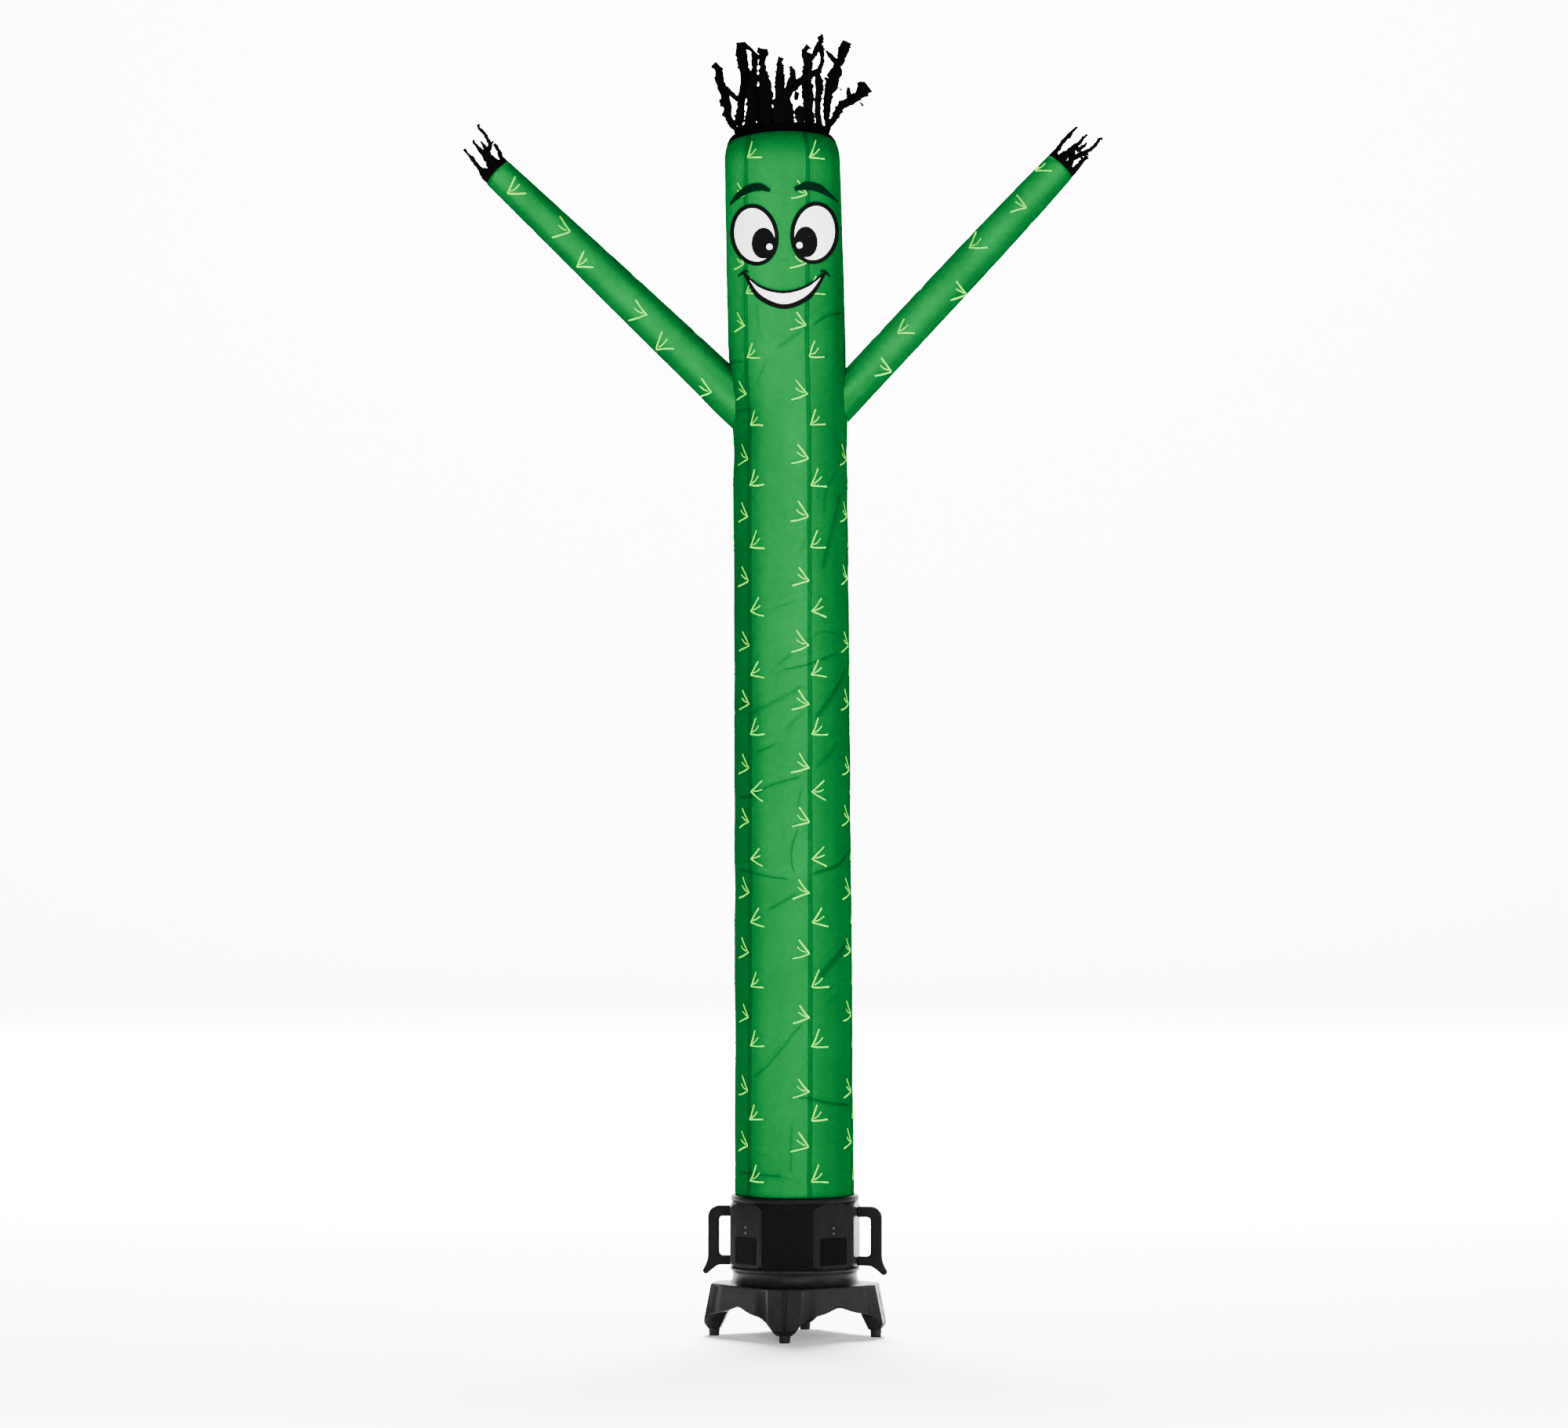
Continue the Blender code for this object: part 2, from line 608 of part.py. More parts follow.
# ---- the blower ----------------------------------------------------------------------------------


def make_outlet(material):
    """The rim, and the collar inside the tube's hem."""
    soft = 0.0045
    profile = [(COLLAR_RADIUS - EDGE / 2, COLLAR_TOP), (COLLAR_RADIUS, COLLAR_TOP - EDGE / 2)]
    profile += [(COLLAR_RADIUS, RIM_TOP)]
    for turn in (0, 30, 60, 90):
        middle = (RIM_RADIUS - soft, RIM_TOP - soft)
        profile.append((middle[0] + soft * sin(radians(turn)), middle[1] + soft * cos(radians(turn))))
    profile += [(RIM_RADIUS, DRUM_TOP + GAP + EDGE), (RIM_RADIUS - EDGE, DRUM_TOP + GAP)]
    profile += [(BORE, DRUM_TOP + GAP), (BORE, COLLAR_TOP)]
    return turned("blower_outlet", profile, material)


def make_drum(material):
    """An eight-sided prism whose corners are cut by a cone at each end, with the duct through it."""
    foot = FLANGE_TOP + GAP
    corner = DRUM_APOTHEM / cos(pi / DRUM_SIDES)
    profile = [
        (DRUM_CHAMFER_RADIUS, DRUM_TOP),
        (DRUM_CHAMFER_RADIUS + DRUM_CHAMFER_REACH, DRUM_TOP - DRUM_CHAMFER),
        (DRUM_CHAMFER_RADIUS + DRUM_CHAMFER_REACH, foot + DRUM_FOOT_CHAMFER),
        (DRUM_CHAMFER_RADIUS, foot),
        (BORE, foot),
        (BORE, DRUM_TOP),
    ]
    core = turned("drum_core", profile, None)
    bm = bmesh.new()
    bmesh.ops.create_cone(
        bm,
        cap_ends=True,
        segments=DRUM_SIDES,
        radius1=corner,
        radius2=corner,
        depth=1.0,
        matrix=Matrix.Translation((0, 0, 0.5)) @ Matrix.Rotation(pi / DRUM_SIDES, 4, "Z"),
    )
    drum = new_object("blower_drum", bm, material, closed=True)
    drum.rotation_euler.z = YAW
    cut(drum, core, "INTERSECT")
    return drum


def base_outline(part, share, drop, inwards=0.0):
    """A point of the outline this far below the plate's top, as (to the leg's side, along the leg)."""
    leg = LEG_REACH + LEG_SPLAY * drop - inwards
    panel = sqrt(2) * (PANEL_REACH + PANEL_SPLAY * drop - inwards)
    corner = Vector((panel - leg, leg))
    if part == "leg":
        return Vector((corner.x * share, leg))
    return corner.lerp(Vector((panel / 2, panel / 2)), share)


def base_section(point):
    """The base's wall above a point of its lower edge, as (side, along, height), round from the bore."""
    edge_drop = PLATE_TOP - point.z - point.corner * 1.3
    under = PLATE_TOP - PLATE_THICKNESS
    upper = base_outline(point.part, point.share, 0.0)
    lower = base_outline(point.part, point.share, edge_drop, point.corner)
    way = upper.normalized()

    def ring(radius, z):
        return (*(way * radius), z)

    def wall(z, inwards=0.0):
        return (*base_outline(point.part, point.share, PLATE_TOP - z, inwards), z)

    if point.part == "leg":
        inner = [
            (lower.x, lower.y + point.corner - point.depth, point.z),
            (upper.x, LEG_INNER_REACH, LEG_WAIST_Z),
            (upper.x, LEG_INNER_REACH, under),
        ]
    else:
        inner = [wall(z, PANEL_WALL) for z in (point.z, LEG_WAIST_Z, under)]
    return [
        ring(BORE, FLANGE_TOP),
        ring(FLANGE_RADIUS - EDGE / 2, FLANGE_TOP),
        ring(FLANGE_RADIUS, FLANGE_TOP - EDGE / 2),
        ring(FLANGE_RADIUS, FLANGE_TOP - 0.0095),
        ring(WAIST_RADIUS, FLANGE_TOP - 0.0130),
        ring(WAIST_RADIUS, PLATE_TOP + 0.0180),
        ring(WAIST_RADIUS + 0.0030, PLATE_TOP + 0.0080),
        ring(WAIST_RADIUS + 0.0120, PLATE_TOP),
        wall(PLATE_TOP, EDGE),
        wall(PLATE_TOP - EDGE),
        wall(point.z + point.corner * 1.3),
        (*lower, point.z),
        *inner,
        ring(BORE, under),
    ]


def make_base(material):
    """Flange, waist, plate and skirt, whose lower edge rises in an arch between the legs."""
    half = [base_section(point) for point in ARCH]
    other = [[(-side, along, z) for side, along, z in section] for section in half[-2:0:-1]]
    quarter = [(0, section) for section in half] + [(1, section) for section in other]
    last = len(half[0])

    def place(column, row):
        leg, index = divmod(column % (4 * len(quarter)), len(quarter))
        ahead, section = quarter[index]
        side, along, z = section[row % last]
        way = radians(90 * (leg + ahead))
        return around(way) * along + around(way + radians(90)) * side + Vector((0, 0, z))

    base = grid_object("blower_base", 4 * len(quarter), last, place, material, closed=True)
    base.rotation_euler.z = YAW
    return base


def make_feet(material):
    for number in range(4):
        bm = bmesh.new()
        bmesh.ops.create_cone(
            bm,
            cap_ends=True,
            segments=20,
            radius1=FOOT_RADIUS,
            radius2=FOOT_SHOULDER,
            depth=FOOT_HEIGHT,
        )
        foot = new_object(f"foot_pad_{number + 1}", bm, material, closed=True)
        middle = around(YAW + radians(90) * number) * FOOT_REACH
        foot.location = (middle.x, middle.y, FOOT_HEIGHT / 2)


def arc(middle, radius, start, end, steps):
    """Points round a middle, between two angles in degrees from the first axis."""
    turns = [radians(start + (end - start) * step / steps) for step in range(steps + 1)]
    return [middle + Vector((cos(turn), sin(turn))) * radius for turn in turns]


def handle_outline():
    """A bar held off the drum by an arm at each end, with a tail below, as (reach, height)."""
    seat = DRUM_APOTHEM + GAP
    inner = HANDLE_REACH - HANDLE_BAR
    small = HANDLE_ROUND - 0.017
    foot_arm = HANDLE_FOOT + HANDLE_ARM
    top_arm = HANDLE_TOP - HANDLE_ARM
    points = [Vector((seat, HANDLE_FOOT)), Vector((0.196, HANDLE_FOOT)), Vector((0.210, 0.1800))]
    points += arc(HANDLE_TAIL, HANDLE_TAIL_RADIUS, -145, 30, 4)
    points += [Vector((0.2320, 0.1900)), Vector((HANDLE_REACH, 0.2050))]
    corner = Vector((HANDLE_REACH - HANDLE_ROUND, HANDLE_TOP - HANDLE_ROUND))
    points += arc(corner, HANDLE_ROUND, 0, 90, 5)
    points += [Vector((seat, HANDLE_TOP)), Vector((seat, top_arm))]
    points += arc(Vector((inner - small, top_arm - small)), small, 90, 0, 2)
    points += arc(Vector((inner - small, foot_arm + small)), small, 0, -90, 2)
    points.append(Vector((seat, foot_arm)))
    return points


def plate_from_outline(name, outline, thickness, edge, material, matrix):
    """A flat piece cut to an outline, its thickness both ways from its plane, with softened edges."""
    bm = bmesh.new()
    verts = [bm.verts.new((point.x, point.y, -thickness / 2)) for point in outline]
    face = bm.faces.new(verts)
    pulled = bmesh.ops.extrude_face_region(bm, geom=[face])
    tops = [item for item in pulled["geom"] if isinstance(item, bmesh.types.BMVert)]
    bmesh.ops.translate(bm, verts=tops, vec=(0, 0, thickness))
    plate = new_object(name, bm, material, closed=True)
    bevel(plate, edge)
    plate.matrix_local = matrix
    return plate


def make_handles(material):
    """The outline's first axis runs out from the drum, its second up, and its thickness sideways."""
    for name, quarter in (("handle_right", 1), ("handle_left", 3)):
        out = around(YAW + radians(90) * quarter)
        up = Vector((0, 0, 1))
        matrix = Matrix((out, up, out.cross(up))).transposed().to_4x4()
        plate_from_outline(name, handle_outline(), HANDLE_DEPTH, HANDLE_EDGE, material, matrix)


def make_labels(material):
    """Two plain plates, each flat on a facet beside the front one."""
    for name, turn in (("label_plate_left", -45), ("label_plate_right", 45)):
        out = around(YAW + radians(turn))
        up = Vector((0, 0, 1))
        across = up.cross(out)
        away = DRUM_APOTHEM + GAP + LABEL_THICKNESS / 2
        matrix = Matrix((across, up, out)).transposed().to_4x4()
        matrix.translation = out * away + up * LABEL_MIDDLE_Z
        wide = LABEL_WIDTH / 2 - LABEL_CORNER
        high = LABEL_HEIGHT / 2 - LABEL_CORNER
        corners = ((wide, high), (-wide, high), (-wide, -high), (wide, -high))
        outline = []
        for number, corner in enumerate(corners):
            outline += arc(Vector(corner), LABEL_CORNER, 90 * number, 90 * number + 90, 2)
        plate_from_outline(name, outline, LABEL_THICKNESS, LABEL_THICKNESS / 4, material, matrix)


# ---- the object ----------------------------------------------------------------------------------

clear_scene()
parts = new_collection("air_dancer")
cutters = new_collection("cutters", shown=False)
stand = bpy.data.objects.new("stand", None)
stand.location.x = AXIS_X
parts.objects.link(stand)

STATION_Z_RADIUS = ([s.z for s in TUBE_STATIONS], [s.radius for s in TUBE_STATIONS])
STATION_Z_LEAN = ([s.z for s in TUBE_STATIONS], [s.lean for s in TUBE_STATIONS])
STATION_Z_TWIST = ([s.z for s in TUBE_STATIONS], [s.twist for s in TUBE_STATIONS])

green_nylon = new_material("green_nylon", (0.0, 0.30, 0.07), 0.5)
black_nylon = new_material("black_nylon", (0.010, 0.010, 0.010), 0.6)
black_plastic = new_material("black_plastic", (0.022, 0.022, 0.024), 0.45)
label_film = new_material("label_film", (0.010, 0.010, 0.012), 0.25)
foot_rubber = new_material("foot_rubber", (0.012, 0.012, 0.012), 0.8)

limbs = [Limb(arm) for arm in ARMS]
bores = [make_bore(limb) for limb in limbs]
tube_space = make_tube_cutter()
for index in range(PANELS):
    make_panel(index, green_nylon, bores)
for limb in limbs:
    make_arm(limb, green_nylon, tube_space)
    make_fingers(limb, black_nylon)
make_hair(black_nylon)

make_outlet(black_plastic)
make_drum(black_plastic)
make_base(black_plastic)
make_feet(foot_rubber)
make_handles(black_plastic)
make_labels(label_film)
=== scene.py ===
"""The looks of the inflatable air dancer: the cloth, its print and strips, and the moulded blower.

Each piece follows the solid that it stands for, about the outlet's axis, which stands at AXIS_X. An
angle "from the front" is 0 towards -Y and grows towards +X. Sizes are in metres, but for the charted
tables, which say so where they are in millimetres.
"""

from collections import namedtuple
from functools import reduce
from math import cos, floor, hypot, pi, radians, sin, sqrt

import bmesh
import bpy
import numpy as np
from mathutils import Matrix, Vector


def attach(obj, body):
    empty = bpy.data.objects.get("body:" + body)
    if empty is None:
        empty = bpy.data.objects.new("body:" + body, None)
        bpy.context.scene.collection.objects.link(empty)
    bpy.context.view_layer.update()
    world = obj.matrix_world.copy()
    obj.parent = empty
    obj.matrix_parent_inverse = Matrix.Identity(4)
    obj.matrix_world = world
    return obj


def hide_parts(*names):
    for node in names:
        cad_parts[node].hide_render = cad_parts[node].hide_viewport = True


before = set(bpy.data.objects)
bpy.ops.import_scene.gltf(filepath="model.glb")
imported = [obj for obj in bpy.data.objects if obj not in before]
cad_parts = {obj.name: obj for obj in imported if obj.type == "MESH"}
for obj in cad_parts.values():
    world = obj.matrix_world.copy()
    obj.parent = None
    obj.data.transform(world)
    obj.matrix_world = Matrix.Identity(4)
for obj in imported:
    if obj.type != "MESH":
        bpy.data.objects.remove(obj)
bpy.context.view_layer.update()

# ---- sizes

AXIS_X = 0.030
YAW = radians(-7.2)  # the blower's front foot is turned this far towards -X
GAP = 0.0003  # between pieces that touch
CLOTH = 0.0012

FOOT_REACH, FOOT_HEIGHT, FOOT_RADIUS, FOOT_SHOULDER = 0.212, 0.0195, 0.0135, 0.0152
BORE = 0.145
PLATE_TOP, PLATE_THICKNESS = 0.139, 0.0065
FLANGE_TOP, FLANGE_RADIUS, WAIST_RADIUS = 0.183, 0.169, 0.162
DRUM_TOP, DRUM_APOTHEM, DRUM_SIDES = 0.3527, 0.162, 8
DRUM_END, DRUM_REACH = 0.164, 0.1776  # radii that its corners are cut to at its ends and between
DRUM_SLOPE_TOP, DRUM_SLOPE_FOOT = 0.0185, 0.0130  # heights of the cuts
RIM_TOP, RIM_RADIUS = 0.369, 0.1665
COLLAR_TOP, COLLAR_RADIUS = 0.396, 0.1505

HEM_Z = RIM_TOP + GAP
SHOULDER_Z, VENT_Z, VENT_RADIUS, VENT_TILT = 3.060, 3.125, 0.113, 0.010
SEAMS = np.radians((-48.6, 15.8, 74.0, 134.0, 194.0, 254.0))
PANELS = len(SEAMS)
GORE = 2 * pi / PANELS
SEAM_TURNS = np.concatenate([SEAMS - 2 * pi, SEAMS, SEAMS + 2 * pi])
SEAM_PINCH = 0.0016
CLOTH_RADIUS = 0.152  # of the tube, roughly, for sizes along the cloth
SEAM_HALF, SEAM_RAISE, SEAM_EDGE = 0.0065, 0.0007, 0.0008  # half the double cloth's width, its height, its edge
SEAM_SHIFT = 0.0026  # how far right of the seam the middle of its dark band is
SEAM_COLUMNS = (0.0, 0.45, 0.94, 1.06)  # beside a seam, as shares of SEAM_HALF
GORE_STEPS, TUBE_ROWS, SHOULDER_ROWS = 18, 290, 14  # columns between two seams, and rows
SHOULDER_RISE = 0.075  # how much farther up the cloth's own height goes over the shoulder
WAVINESS, HEM_CALM = 0.0005, 0.03  # the depth of the cloth's fine waves, and the height they start over

# Up the tube: the height, the radius, how far the middle is off the axis, and the twist in degrees.
STATION_Z, STATION_RADIUS, STATION_LEAN, STATION_TWIST = np.transpose((
    (0.369, 0.1562, -0.001, -2.4), (0.72, 0.155, -0.003, -0.6), (1.1, 0.1536, -0.005, 0.4),
    (1.72, 0.1512, -0.008, 1.3), (2.2, 0.1512, -0.011, 2.0), (2.36, 0.1512, -0.013, 2.6), (2.58, 0.154, -0.021, 3.0),
    (2.9, 0.1534, -0.029, 7.4), (3.06, 0.1515, -0.033, 9.4), (3.125, 0.1515, -0.034, 10.0),
))

# Soft troughs: degrees from the front, height, half the size along and across, degrees that the long
# way is turned, and depth, in mm.
TROUGHS = (
    (-62, 2340, 120, 45, 38, 5), (66, 2330, 110, 45, -40, 4.5), (-30, 2620, 110, 50, 20, 3),
    (52, 2050, 150, 60, -35, 3.5), (-20, 1780, 160, 60, 28, 3), (30, 1420, 150, 60, -30, 3.5),
    (0, 1190, 200, 40, 4, 4), (-35, 920, 150, 55, 32, 3), (45, 720, 140, 55, -25, 3.5), (-8, 450, 150, 35, 3, 4),
    (120, 2200, 160, 60, 30, 4), (180, 2520, 180, 60, -12, 3.5), (215, 1950, 170, 60, 35, 4),
    (150, 1550, 160, 60, -28, 3.5), (200, 1120, 200, 45, 5, 4), (235, 800, 150, 55, -34, 3.5),
    (170, 550, 150, 50, 12, 3.5),
)

# Creases: how dark they are in painted shade, which also sets their depth, and how wide, against a clear one, in
# tenths, the side, 1 over them or -1 to their left, that painted shade lies on, and a path of (degrees from the front,
# height in mm).
Crease = namedtuple("Crease", "dark wide side path")
CREASES = [Crease(dark / 10, wide / 10, side, [(angle, z / 1000) for angle, z in path]) for dark, wide, side, *path in (
    (4, 5, 1, (-27, 1884), (14, 1919)), (4, 5, 1, (8, 2022), (13, 2062), (16, 2087)),
    (6, 6, 1, (19, 1809), (24, 1823), (54, 1829)), (10, 6, 1, (-14, 1734), (8, 1742), (34, 1763), (53, 1779)),
    (5, 13, 1, (-19, 1738), (5, 1783)), (4, 14, 1, (35, 2127), (38, 2196), (53, 2249)),
    (5, 15, 1, (-51, 1613), (-3, 1670), (14, 1698)), (4, 14, -1, (-8, 1572), (4, 1609), (15, 1633)),
    (9, 6, 1, (-42, 1518), (-27, 1530), (-14, 1546)),
    (8, 8, 1, (-70, 1402), (-45, 1408), (-24, 1433), (-1, 1451), (13, 1463)),
    (6, 8, -1, (12, 1439), (7, 1402), (5, 1366)), (9, 7, -1, (6, 1329), (-1, 1269), (-1, 1236), (3, 1196)),
    (9, 7, 1, (-71, 1218), (-43, 1208), (-16, 1196), (2, 1194)),
    (10, 12, 1, (17, 1204), (32, 1214), (51, 1228), (72, 1262)), (9, 22, 1, (24, 930), (45, 985), (68, 1030)),
    (8, 20, 1, (22, 1600), (45, 1670), (70, 1740)), (6, 22, 1, (32, 1985), (46, 2090), (60, 2200)),
    (7, 12, 1, (-70, 1800), (-46, 1815)), (7, 14, 1, (-66, 1640), (-46, 1650)),
    (7, 10, 1, (-28, 1109), (-12, 1131), (6, 1161)), (5, 14, 1, (20, 1471), (33, 1500), (52, 1548)),
    (7, 10, 1, (-44, 676), (-27, 710), (-9, 763), (6, 811), (13, 823)), (4, 6, 1, (-24, 694), (-14, 730), (-2, 771)),
    (10, 9, 1, (-4, 634), (18, 625), (31, 615), (48, 609), (72, 604)), (6, 8, -1, (-2, 572), (-3, 508), (-3, 423)),
    (9, 8, 1, (-72, 431), (-26, 427), (-3, 423)), (4, 5, 1, (-44, 479), (-24, 481)), (4, 10, 1, (31, 864), (49, 896)),
    (9, 8, 1, (24, 2619), (42, 2647), (78, 2661)), (5, 6, -1, (-30, 2692), (-28, 2619), (-22, 2572)),
    (5, 8, -1, (-19, 2542), (-33, 2469)), (5, 13, 1, (-13, 2558), (1, 2583), (19, 2617)),
    (8, 7, 1, (-76, 2530), (-45, 2532)), (8, 7, 1, (-69, 2402), (-40, 2410)), (3, 10, 1, (-8, 2795), (7, 2791)),
    (8, 12, 1, (100, 2300), (130, 2250), (150, 2180)), (8, 10, 1, (210, 2420), (240, 2360)),
    (7, 10, 1, (160, 2050), (186, 2000), (214, 2030)), (8, 8, 1, (110, 1700), (140, 1650), (166, 1570)),
    (9, 8, -1, (196, 1480), (200, 1380), (192, 1280)), (10, 9, 1, (120, 1180), (170, 1160), (222, 1190)),
    (7, 11, 1, (232, 900), (206, 830), (180, 790)), (8, 8, 1, (130, 640), (164, 600)),
    (9, 7, 1, (150, 430), (196, 424)), (7, 10, 1, (120, 2700), (150, 2660), (172, 2600)),
    (8, 8, 1, (-120, 2860), (-96, 2820)), (6, 9, 1, (84, 2050), (112, 2010)),
    (7, 9, 1, (-128, 1640), (-98, 1610), (-72, 1640)), (8, 9, 1, (-150, 980), (-128, 1040), (-96, 1060)),
)]
CREASE_LINE, CREASE_SHADE, CREASE_HALF = 0.0036, 0.010, 0.026  # widths of the painted furrow, its painted shade and the fold's cloth
CREASE_VALLEY, CREASE_DEPTH = 0.015, 0.0018  # of the soft valley that the tube itself has
FOLD_STEP, FOLD_COLUMNS, FOLD_FADE, FOLD_OFF, FOLD_LIFT, FOLD_SHARP = 0.006, 19, 0.022, 0.0006, 0.0005, 0.002
FOLD_RIDGE, FOLD_RIDGE_HALF = 0.008, 0.006  # how far beside the furrow the cloth is lifted, and over what width

# The arms: x and z of the root and the hand, and the radii at these shares of the way between them.
Arm = namedtuple("Arm", "side root hand radii")
ARM_SHARES = (0.0, 0.10, 0.25, 0.45, 0.66, 0.87, 1.0)
ARMS = (
    Arm("left", (-0.168, 2.449), (-0.771, 3.024), (0.0595, 0.0573, 0.0553, 0.0522, 0.0482, 0.0442, 0.0417)),
    Arm("right", (0.139, 2.452), (0.688, 3.040), (0.0500, 0.0502, 0.0504, 0.0500, 0.0490, 0.0464, 0.0430)),
)
ARM_SIDES, ARM_ROWS = 72, 110
PUCKER, PUCKER_REACH, ROOT_SINK = 0.0016, 0.075, 0.0008  # the armhole's puckers, and how far arms start in the tube
HOLE_INSET, HOLE_FROM, HOLE_TO = 0.006, -0.09, 0.12  # the armhole in the tube, round and along the arm's line
# Soft folds along an arm: how far along, how much they slant, half their width, and their depth.
ARM_FOLDS = (
    (0.17, 0.5, 0.014, 0.0022), (0.36, -0.6, 0.012, 0.0020), (0.50, 0.8, 0.016, 0.0018), (0.66, -0.3, 0.012, 0.0022),
)

Lock = namedtuple("Lock", "angle root path")


def locks(*rows):
    """Locks of a slashed strip, each from the angle of its root in degrees, and in mm the width of
    its root and the knots of its path, as (to the side, up, width)."""
    return [Lock(angle, root / 1000, [tuple(n / 1000 for n in knot) for knot in path]) for angle, root, *path in rows]


HAIR = locks(
    (-101, 18, (-126, 11, 24), (-143, 41, 19), (-141, 68, 19), (-151, 97, 18), (-162, 131, 22), (-163, 160, 17),
     (-180, 176, 15)),
    (-73, 22, (-114, 29, 20), (-107, 49, 17), (-107, 77, 16), (-99, 105, 20), (-92, 131, 21), (-100, 159, 25),
     (-104, 189, 29), (-106, 223, 24)),
    (-43, 38, (-78, 29, 32), (-74, 67, 33), (-78, 100, 27), (-76, 123, 18), (-71, 146, 11), (-70, 166, 16),
     (-65, 180, 26)),
    (-23, 34, (-43, 31, 36), (-42, 67, 38), (-42, 100, 30), (-49, 126, 21), (-50, 154, 13), (-48, 179, 22),
     (-47, 192, 19)),
    (-5, 32, (-6, 31, 36), (-5, 72, 27), (-5, 108, 24), (-5, 133, 17), (-6, 154, 12), (-1, 166, 18)),
    (10, 20, (18, 31, 23), (12, 62, 18), (19, 85, 20), (28, 108, 22), (29, 128, 13), (22, 145, 4)),
    (23, 24, (46, 26, 28), (51, 41, 15)),
    (38, 24, (70, 21, 23), (69, 62, 23), (65, 92, 31), (63, 123, 23), (68, 151, 24), (64, 177, 26), (58, 189, 15),
     (70, 202, 13)),
    (53, 18, (94, 16, 16), (93, 46, 14), (94, 77, 14), (95, 103, 16), (92, 133, 13), (105, 164, 9), (104, 189, 10),
     (97, 208, 13), (104, 236, 6)),
    (76, 20, (117, 21, 17), (116, 57, 18), (119, 87, 21), (132, 115, 33), (138, 141, 33), (144, 161, 21),
     (155, 184, 21), (161, 208, 29), (169, 226, 21)),
    (99, 18, (123, 11, 15), (132, 26, 14), (146, 49, 20), (156, 69, 22), (181, 78, 23), (199, 91, 24),
     (212, 110, 38), (224, 119, 34)),
    (113, 13, (117, 30, 13), (118, 70, 14), (125, 100, 17)),
    (127, 14, (94, 30, 12), (94, 70, 11), (94, 110, 10)),
    (142, 22, (70, 30, 20), (68, 70, 20), (65, 100, 22), (66, 140, 18)),
    (157, 22, (46, 22, 24), (50, 36, 12)),
    (171, 20, (17, 30, 22), (12, 55, 14)),
    (187, 26, (-10, 30, 26), (-6, 70, 20), (-5, 110, 16)),
    (205, 30, (-44, 30, 30), (-42, 70, 30), (-43, 100, 24), (-49, 126, 14), (-48, 160, 10)),
    (223, 28, (-78, 30, 26), (-76, 70, 24), (-77, 100, 20), (-75, 123, 12)),
    (243, 20, (-108, 30, 16), (-107, 70, 14), (-98, 108, 14), (-99, 156, 18), (-104, 200, 16)),
)
FINGERS = {
    "left": locks(
        (-44, 34, (-25, 23, 11), (-21, 46, 9), (-19, 56, 9), (-19, 64, 5), (-18, 73, 5), (-17, 84, 6)),
        (-4, 20, (1, 12, 13), (8, 36, 11), (11, 53, 9), (12, 66, 6), (13, 75, 4), (17, 83, 5)),
        (25, 18, (15, 10, 14), (15, 24, 13), (21, 34, 13), (33, 39, 10), (40, 45, 8), (44, 56, 8), (48, 68, 7),
         (49, 81, 7), (49, 93, 6), (56, 101, 5)),
        (62, 22, (37, 4, 12), (41, 10, 9), (43, 18, 7), (46, 28, 8), (48, 38, 7)),
        (118, 18, (36, 6, 12), (41, 18, 7)),
        (160, 20, (13, 8, 14), (11, 22, 10)),
        (200, 18, (-16, 10, 9), (-15, 19, 5)),
        (238, 20, (-31, 8, 12), (-26, 20, 8)),
    ),
    "right": locks(
        (-62, 30, (-37, 17, 12), (-39, 28, 8), (-39, 40, 8), (-37, 54, 11), (-39, 67, 6), (-39, 75, 4), (-37, 85, 3)),
        (-16, 26, (-9, 14, 18), (-9, 29, 14), (-7, 44, 10), (-5, 59, 8), (-7, 73, 5), (-5, 87, 3)),
        (14, 17, (9, 17, 14), (15, 30, 12), (21, 43, 9), (26, 59, 7), (29, 72, 7), (29, 86, 7), (26, 98, 7),
         (31, 106, 6)),
        (50, 20, (33, 17, 12), (32, 29, 9), (33, 37, 8), (37, 46, 6)),
        (118, 18, (35, 14, 10), (33, 29, 6)),
        (160, 20, (13, 10, 12), (10, 21, 8)),
        (197, 18, (-11, 17, 12), (-10, 33, 8)),
        (237, 18, (-37, 14, 8), (-38, 26, 6)),
    ),
}
# Side growths that hang together with two locks or stick out. They have no root.
HAIR_TUFTS = locks(
    (-85, 0, (-107, 69, 14), (-130, 90, 13), (-152, 110, 13)),
    (-90, 0, (-136, 59, 16), (-154, 68, 18), (-162, 79, 4)), (-50, 0, (-65, 180, 11), (-80, 194, 7), (-97, 208, 9)),
    (-43, 0, (-58, 183, 13), (-60, 199, 4)), (25, 0, (12, 71, 16), (36, 94, 16), (54, 111, 16), (69, 127, 15)),
    (12, 0, (28, 90, 16), (38, 71, 13), (36, 54, 8)), (46, 0, (70, 161, 16), (84, 183, 12), (97, 211, 13)),
    (46, 0, (107, 157, 9), (90, 135, 14), (70, 123, 16)), (64, 0, (103, 207, 10), (123, 186, 10), (145, 162, 13)),
    (56, 0, (95, 134, 9), (101, 113, 11), (103, 87, 9)), (99, 0, (176, 78, 16), (174, 97, 12), (173, 115, 4)),
    (76, 0, (144, 105, 13), (155, 97, 5)), (76, 0, (123, 123, 13), (110, 130, 5)),
    (99, 0, (197, 78, 12), (212, 65, 4)), (-58, 0, (-99, 108, 17), (-84, 118, 19), (-66, 123, 16), (-48, 119, 16)),
)
